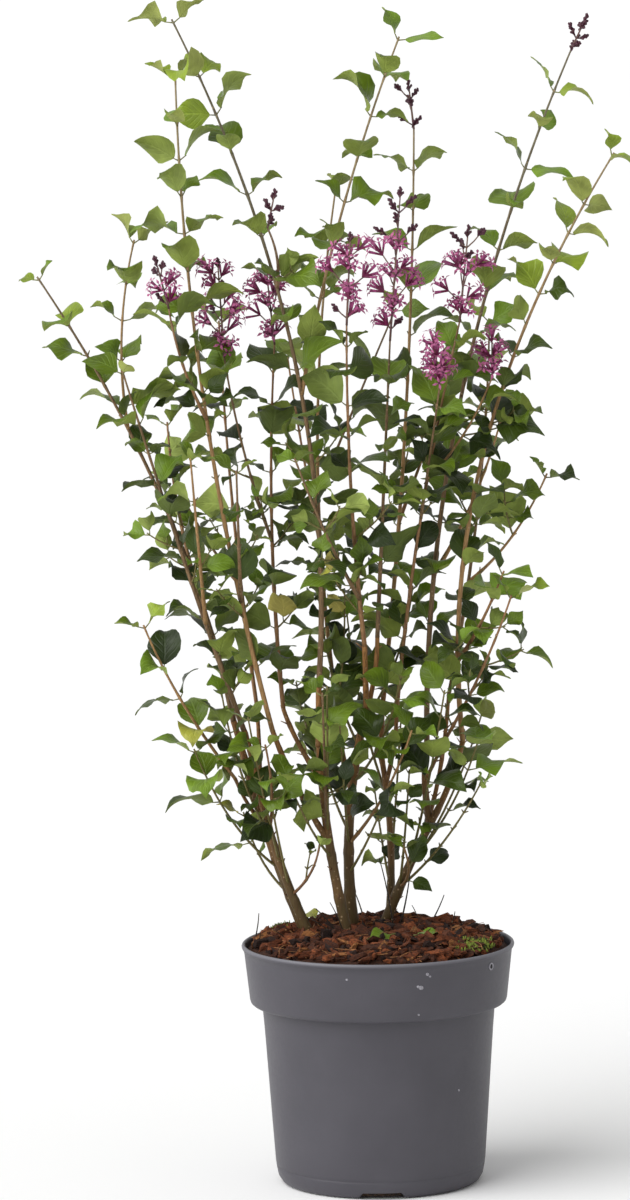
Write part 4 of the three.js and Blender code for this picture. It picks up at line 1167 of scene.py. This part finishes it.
# The points of one leaf in millimetres, along +Y from its root, and their places on the blade
def leafPoints(slot):
    size, draws, isYoung = slot["length"], slot["draws"], slot["young"]
    bend = math.radians(between(leaf["bend"], draws[0]) * (leaf["youngBend"] if isYoung else 1))
    fold = math.radians(between(leaf["fold"], draws[1]) * (leaf["youngFold"] if isYoung else 1))
    wave = leaf["waveDepth"] * between(leaf["wave"], draws[2])
    twist = math.radians(between(leaf["twist"], draws[3]))
    half = size * leaf["halfWidth"] * between(leaf["widthSpread"], draws[4])
    stalk = min(between(leaf["stalk"], draws[5]), size * leaf["longestStalk"])
    phase = draws[6] * math.tau

    def slope(share):
        return bend * (leaf["curl"] * share ** leaf["droop"] - leaf["rise"])

    stations = (0, *leaf["rows"], 1)
    middles = [(stalk, 0.0)]
    for before, after in zip(stations, stations[1:]):
        angle, step = slope((before + after) / 2), (after - before) * size
        y, z = middles[-1]
        middles.append((y + step * math.cos(angle), z - step * math.sin(angle)))
    top, lower, places = [(0, *middles[0])], [], [(0.5, 0)]
    for (y, z), share, wide in zip(middles[1:], leaf["rows"], leaf["widths"]):
        angle, turn, reach = slope(share), twist * share, wide * half
        for u in leaf["columns"]:
            ripple = math.sin(phase + leaf["ripples"][0] * share + (leaf["ripples"][1] if u > 0 else 0))
            ripple += leaf["fineRipples"][1] * math.sin(2 * phase + leaf["fineRipples"][0] * share + u)
            x = reach * u * math.cos(fold)
            lift = reach * (abs(u) * math.sin(fold) + u * u * (wave * ripple - leaf["cup"] * fold))
            x, lift = x * math.cos(turn) - lift * math.sin(turn), x * math.sin(turn) + lift * math.cos(turn)
            spot = (x, y + lift * math.sin(angle), z + lift * math.cos(angle))
            top.append(spot)
            places.append((0.5 + 0.5 * u, share))
            if abs(u) < 1:
                depth = leaf["ribThickness"] if u == 0 else leaf["thickness"]
                lower.append((spot[0], spot[1] - depth * math.sin(angle), spot[2] - depth * math.cos(angle)))
    top.append((0, *middles[-1]))
    places.append((0.5, 1))
    places += [(0.5 + 0.5 * u, share) for share in leaf["rows"] for u in leaf["columns"][1:-1]]
    ring = []
    for end, radius in zip((leaf["stalkEnds"][0], stalk + leaf["stalkEnds"][1]), leaf["stalkRadius"]):
        for j in range(3):
            turn = math.tau * j / 3 + math.pi / 2
            ring.append((radius * math.cos(turn), end, radius * math.sin(turn) - leaf["stalkDrop"]))
    places += [(0.5, 0)] * len(ring)
    return np.array(top + lower + ring), np.array(places)


# Lilac leaves are smooth and a little waxy above, paler and duller below, with sunken veins, a
# yellower foot and a painted highlight along the rim, and no two patches of blade have quite the same green
def leafSkin(name, colour, roughness, veinLift, bloom):
    material, tree, shader, spots = newMaterial(name, colour, roughness, 1.42, bloom)
    place = addNode(tree, "UVMap", uv_map="surface")
    axes = addNode(tree, "SeparateXYZ", {"Vector": place})
    offset = addNode(tree, "Math", {0: axes.outputs["X"], 1: 0.5}, operation="SUBTRACT")
    aside = addNode(tree, "Math", {0: offset}, operation="ABSOLUTE")  # 0 on the rib, 0.5 at the rim
    slant = addNode(tree, "Math", {0: aside, 1: -0.75, 2: axes.outputs["Y"]}, operation="MULTIPLY_ADD")
    count = addNode(tree, "Math", {0: slant, 1: 40.0}, operation="MULTIPLY")
    wave = addNode(tree, "Math", {0: count}, operation="SINE")
    vein = addNode(tree, "MapRange", {"Value": wave, "From Min": 0.4, "From Max": 1.0})
    rib = addNode(tree, "MapRange", {"Value": aside, "From Min": 0.04, "From Max": 0.014})
    lines = addNode(tree, "Math", {0: vein, 1: 0.5, 2: rib}, operation="MULTIPLY_ADD", use_clamp=True)
    # Painted highlight: the blade is paler along its rim, where light would glow through the thin edge
    rim = addNode(tree, "MapRange", {"Value": aside, "From Min": 0.45, "From Max": 0.5, "To Max": 0.8})
    foot = addNode(tree, "MapRange", {"Value": axes.outputs["Y"], "From Min": 0.4, "From Max": 0.0,
                                      "To Max": 0.7})
    rimHighlightAndFoot = addNode(tree, "Math", {0: rim, 1: foot}, operation="MAXIMUM")
    pale = addNode(tree, "Math", {0: lines, 1: rimHighlightAndFoot}, operation="MAXIMUM")
    cloud = addNode(tree, "TexNoise", {"Vector": spots, "Scale": scaleFor(18), "Detail": 2.0})
    shade = addNode(tree, "ValToRGB", {"Fac": cloud},
                    stops=((0.34, linear(colour, 0.76)), (0.66, linear(colour, 1.2))))
    amount = addNode(tree, "Math", {0: pale, 1: veinLift}, operation="MULTIPLY")
    mix = addNode(tree, "Mix", {"Factor": amount, 6: shade, 7: linear(colour, 1.5, 0.02)}, data_type="RGBA")
    bump = addNode(tree, "Bump", {"Height": lines, "Distance": -0.5 * mm, "Strength": 0.8})
    fillInputs(tree, shader, {"Base Color": mix.outputs[2], "Specular IOR Level": 0.4, "Normal": bump})
    return material


# The plant keeps to the box of its solids
def insideBox(points):
    low, high = (np.array(corner) / mm for corner in cadBox)
    return bool((points > low + room["margin"]).all() and (points < high - room["margin"]).all())


def dropLeaves():
    for (x, y), turn, tone, size in fallen["leaves"]:
        along = np.array((math.cos(math.radians(turn)), math.sin(math.radians(turn)), fallen["slope"]))
        leafSlots.append({
            "root": np.array((x, y, moundHeight(x, y) + fallen["lift"])), "along": unit(along),
            "up": np.array(fallen["up"]), "length": size, "tone": tone, "young": False,
            "draws": fallen["draws"],
        })


# Stems, boughs, shoots and twigs as one tree of faces, in millimetres
def caneTree():
    shape = bmesh.new()
    for piece in bpy.context.scene.objects:
        if piece.name == "shoots_and_twigs" or piece.name.endswith("_bark"):
            shape.from_mesh(piece.data)
    bmesh.ops.scale(shape, vec=(1 / mm, 1 / mm, 1 / mm), verts=shape.verts)
    tree = BVHTree.FromBMesh(shape)
    shape.free()
    return tree


# The side, direction and upper side of a leaf that is swung aside and lifted
def swungPose(slot, aside, lift):
    aside, lift = math.radians(aside), math.radians(lift)
    along, top = slot["along"], slot["up"]
    swung = along * math.cos(aside) + np.cross(along, top) * math.sin(aside)
    raised = swung * math.cos(lift) + top * math.sin(lift)
    skin = top * math.cos(lift) - swung * math.sin(lift)
    return np.array([np.cross(raised, skin), raised, skin])


# The placed points of one leaf, where its blade crosses no cane and as few leaves as can be
def placeLeaf(slot, blade, canes, neighbours):
    best = None
    tries = 0
    while best is None or (best["cost"] >= room["caneCost"] and tries < room["tries"]):
        shape, places = leafPoints(slot)
        for lift in room["lifts"]:
            for aside in room["asides"]:
                points = slot["root"] + shape @ swungPose(slot, aside, lift)
                if not insideBox(points):
                    continue
                tree = BVHTree.FromPolygons(points.tolist(), blade)
                cost = sum(bool(tree.overlap(other)) for other in neighbours)
                cost += room["caneCost"] if tree.overlap(canes) else 0
                if best is None or cost < best["cost"]:
                    best = {"cost": cost, "points": points, "places": places, "tree": tree}
                if cost == 0:
                    return best
        slot["length"] *= room["shrink"]
        tries += 1
    return best


def makeLeaves():
    dropLeaves()
    faces, finishes = leafFaceList()
    # Blades alone are tested, without the faces by the stalk, which every leaf sets against its cane
    blade = [face for face, finish in zip(faces, finishes) if finish == 0][room["footFaces"]:]
    heaps = {tone: newHeap() for tone in leafTones}
    canes = caneTree()
    roots = np.array([slot["root"] for slot in leafSlots])
    trees = []
    costs = []
    for number, slot in enumerate(leafSlots):
        near = np.linalg.norm(roots[:number] - slot["root"], axis=1) < room["near"]
        placed = placeLeaf(slot, blade, canes, [trees[i] for i in np.flatnonzero(near)])
        trees.append(placed["tree"])
        costs.append(placed["cost"])
        addToHeap(heaps[slot["tone"]], placed["points"], faces, finishes, placed["places"])
    stalk = clouded("leaf stalk", "#635c36", "#808549", 0.55, 11)  # smooth and olive, browner in places
    for tone, heap in heaps.items():
        if heap["count"] == 0:
            continue
        upper = leafSkin(tone + " leaf face", leafTones[tone][0], 0.36, 0.52, 0.02)
        under = leafSkin(tone + " leaf underside", leafTones[tone][1], 0.62, 0.3, 0.0)
        piece = pieceFromHeap("leaves_" + tone, heap, [upper, under, stalk], rim=100)
        finishPiece(piece, list(masses))
    across = sum(cost >= room["caneCost"] for cost in costs)
    print(len(costs), "leaves,", across, "across canes,", sum(cost > 0 for cost in costs), "across leaves")


# Flower heads: a rachis with opposite branches, each ending in tufts of florets or buds. Florets are
# open up to a share of the head's length.
flowerHeads = withNames(("on", "shoot", "length", "width", "lean", "open", "nodes"), {
    "fan_side_blossom": ("fan_foliage", 1, 44, 40, (-10, 0), 0.5),
    "inner_side_blossom": ("inner_foliage", 1, 88, 60, (-4, -6), 0.9),
    "inner_blossom": ("inner_foliage", 0, 70, 62, (-6, 0), 0.95),
    "tall_side_buds": ("tall_foliage", 2, 30, 42, (6, 0), 0, 2),
    "front_blossom": ("front_foliage", 0, 80, 58, (4, -4), 0.9),
    "middle_blossom": ("middle_foliage", 0, 136, 66, (10, -6), 0.64),
    "back_buds": ("back_foliage", 0, 42, 50, (-4, 0), 0, 3),
    "front_right_blossom": ("front_right_foliage", 0, 84, 68, (8, 0), 0.6),
    "low_front_blossom": ("front_right_foliage", 1, 38, 42, (-4, -4), 1),
    "low_right_blossom": ("front_right_foliage", 2, 34, 36, (0, 0), 1),
    "right_tip_buds": ("right_foliage", 0, 28, 30, (12, 0), 0, 3),
})
flowering = {(plan["on"], plan["shoot"]) for plan in flowerHeads.values()}

floret = {
    "tube": 11.5, "foot": 0.9, "neck": 1.15, "neckAt": 0.55, "throat": 1.4,
    "lobe": 5.9, "lobeWidth": 2.5, "spread": 66, "droop": 0.22, "cup": 0.35, "ribDepth": 0.25,
}
bud = {"length": 5.8, "radius": 1.4, "sides": 5, "rings": ((0, 0.4), (0.45, 0.62), (0.78, 1.0))}
tufts = {
    "florets": {"count": (4, 6), "spread": 50, "step": 0.6, "length": floret["tube"]},
    "buds": {"count": (5, 8), "spread": 36, "step": 1.1, "length": bud["length"]},
}
tuftDraws = {"turns": 2.4, "lean": (0.8, 1.15), "size": (0.82, 1.12)}
panicle = {
    "rachis": {"radius": (1.0, 0.55), "sides": 6, "rings": 8},
    "branch": {"radius": (0.65, 0.5), "sides": 4, "rings": 3},
    "nodeGap": 15, "from": 0.08, "to": 0.96, "tipAt": 0.9, "rise": (0.5, 1.25), "footReach": 0.7,
    "swollen": 0.4, "taper": 0.5, "reach": (0.55, 1.08), "leastReach": 4, "tuftShare": 0.8,
    "turnSpread": (-0.3, 0.3), "lateBuds": 0.06, "sag": -0.05, "tipSize": 0.95, "firstSeed": 60,
}


# One floret along +Z: a slender square tube and four pointed lobes. Its finishes are 0 for the tube,
# 1 for the lobes, 2 for the throat, a dark cap of painted shade over the tube's open end, and 3 for the
# mouth.
def floretShape():
    length, lobe = floret["tube"], floret["lobe"]
    rings = ((0, floret["foot"]), (floret["neckAt"] * length, floret["neck"]), (length, floret["throat"]))
    corners = [math.pi / 2 * j for j in range(4)]
    points = [(radius * math.cos(a), radius * math.sin(a), z) for z, radius in rings for a in corners]
    faces = [(i + j, i + (j + 1) % 4, i + 4 + (j + 1) % 4, i + 4 + j) for i in (0, 4) for j in range(4)]
    faces += [(3, 2, 1, 0), (8, 9, 10, 11)]
    finishes = [0] * 4 + [3] * 4 + [0, 2]
    tilt = math.radians(floret["spread"])
    for corner in corners:
        turn = math.pi / 4 + corner
        out = np.array((math.cos(turn), math.sin(turn), 0))
        side = np.array((-math.sin(turn), math.cos(turn), 0))
        forward = out * math.sin(tilt) + up * math.cos(tilt)
        above = up * math.sin(tilt) - out * math.cos(tilt)
        base = up * length + out * floret["throat"] / 2
        middle = base + forward * lobe / 2
        half = side * floret["lobeWidth"] / 2
        raised = middle + above * floret["cup"]
        end = base + forward * lobe - above * lobe * floret["droop"]
        root, left, tip, right, rib = range(len(points), len(points) + 5)
        points += [base, raised - half, end, raised + half, middle - above * floret["ribDepth"]]
        faces += [(root, right, left), (left, right, tip)]
        faces += [(root, left, rib), (left, tip, rib), (tip, right, rib), (right, root, rib)]
        finishes += [1] * 6  # the six faces of a lobe
    return np.array(points, float), faces, finishes


# One closed bud along +Z, widest near its blunt tip
def budShape():
    turn = np.arange(bud["sides"]) * math.tau / bud["sides"]
    points = []
    for height, wide in bud["rings"]:
        radius = bud["radius"] * wide
        points += [(radius * math.cos(a), radius * math.sin(a), height * bud["length"]) for a in turn]
    points += [(0, 0, 0), (0, 0, bud["length"])]
    faces = stackFaces(bud["sides"], len(bud["rings"]))
    return np.array(points, float), faces, [0] * len(faces)


# Stands a shape that points along +Z at a place, turned to a direction
def stood(points, place, direction, turn, scale):
    matrix = upAxis.rotation_difference(Vector(direction)).to_matrix() @ Matrix.Rotation(turn, 3, "Z")
    return place + (points * scale) @ np.array(matrix).T


def addTuft(heaps, shapes, place, direction, kind, size, rng):
    tuft = tufts[kind]
    least, most = tuft["count"]
    count = int(rng.integers(least, most + 1))
    points, faces, finishes = shapes[kind]
    side = unit(np.cross(direction, (0.3, 0.9, 0.2)))
    front = np.cross(side, direction)
    for i in range(count):
        turn = math.tau * i / count * tuftDraws["turns"] + rng.uniform(0, 1)
        lean = math.radians(tuft["spread"]) * math.sqrt((i + 0.3) / count) * rng.uniform(*tuftDraws["lean"])
        aim = direction * math.cos(lean) + (side * math.cos(turn) + front * math.sin(turn)) * math.sin(lean)
        scale = size * rng.uniform(*tuftDraws["size"])
        foot = place - direction * tuft["step"] * i
        addToHeap(heaps[kind], stood(points, foot, aim, rng.uniform(0, 3), scale), faces, finishes)


# The reach of a head's branches: short at its foot, longest below the middle, short at its tip
def branchReach(plan, share):
    swollen = panicle["swollen"]
    if share < swollen:
        return plan["width"] / 2 * between((panicle["footReach"], 1), share / swollen)
    return plan["width"] / 2 * (1 - panicle["taper"] * (share - swollen) / (1 - swollen))


def growPanicle(heaps, shapes, plan, shoot, rng):
    start = pointOn(shoot["curve"], 1)
    tip = start + (*plan["lean"], plan["length"] * panicle["tipAt"])
    curve = bowedCurve(start, tip)
    addTube(heaps["stalks"], curve, panicle["rachis"])
    nodes = plan.get("nodes", max(2, round(plan["length"] / panicle["nodeGap"])))
    firstTurn = rng.uniform(0, math.pi)
    for node in range(nodes):
        share = node / nodes
        t = between((panicle["from"], panicle["to"]), share)
        root = pointOn(curve, t)
        for opposite in (0, math.pi):
            turn = firstTurn + node * math.pi / 2 + opposite + rng.uniform(*panicle["turnSpread"])
            along, outward = outwardOn(curve, t, turn)
            kind = "buds" if share >= plan["open"] or rng.random() < panicle["lateBuds"] else "florets"
            own = tufts[kind]["length"] * panicle["tuftShare"]
            reach = branchReach(plan, share) * rng.uniform(*panicle["reach"]) - own
            reach = max(panicle["leastReach"], reach)
            direction = unit(outward + along * rng.uniform(*panicle["rise"]))
            end = root + direction * reach
            branch = bowedCurve(root, end, along * reach * panicle["sag"])
            addTube(heaps["stalks"], branch, panicle["branch"])
            addTuft(heaps, shapes, end, direction, kind, 1, rng)
    kind = "buds" if plan["open"] < 1 else "florets"
    addTuft(heaps, shapes, tip, unit(tip - start), kind, panicle["tipSize"], rng)


# Petals are soft and matt with a faint velvet sheen, and the tubes and buds darker and smoother
def petal(name, colour, roughness, sheen=0.0):
    return clouded(name, darker(colour, 0.84), colour, roughness, 3.3, 1.4, sheen, 2.0)


def makeFlowers(shootsOf):
    heaps = {"stalks": newHeap(), "florets": newHeap(), "buds": newHeap()}
    shapes = {"florets": floretShape(), "buds": budShape()}
    for seed, plan in enumerate(flowerHeads.values(), panicle["firstSeed"]):
        growPanicle(heaps, shapes, plan, shootsOf[plan["on"]][plan["shoot"]], np.random.default_rng(seed))
    petals = [
        petal("floret tube", "#74204a", 0.45),
        petal("floret lobe", "#b9618f", 0.6, 0.1),
        # Painted shade: the throat cap is as dark as the inside of the open tube
        petal("floret throat painted shade", "#5a1f43", 0.7),
        petal("floret mouth", "#a0447a", 0.55, 0.05),
    ]
    closed = petal("closed bud", "#4d2434", 0.5)
    stem = clouded("flower stalk", "#5c4046", "#7d6252", 0.7, 17)  # dull brown with a flush of purple
    heads = list(flowerHeads)
    finishPiece(pieceFromHeap("flower_stalks", heaps["stalks"], [stem]), heads)
    finishPiece(pieceFromHeap("open_florets", heaps["florets"], petals, smooth=False), heads)
    finishPiece(pieceFromHeap("closed_buds", heaps["buds"], [closed]), heads)
    print("flowers")


makeCamera()
makeLight()
makeFloor()
print("camera, light and floor")
makePot()
makeCompost()
makeMulch()
makeDeadTwigs()
makeMoss()
print("twigs and moss")
grownLimbs = growLimbs()
makeLimbs(grownLimbs)
shootsOf = growMasses(grownLimbs)
makeLeaves()
makeFlowers(shootsOf)
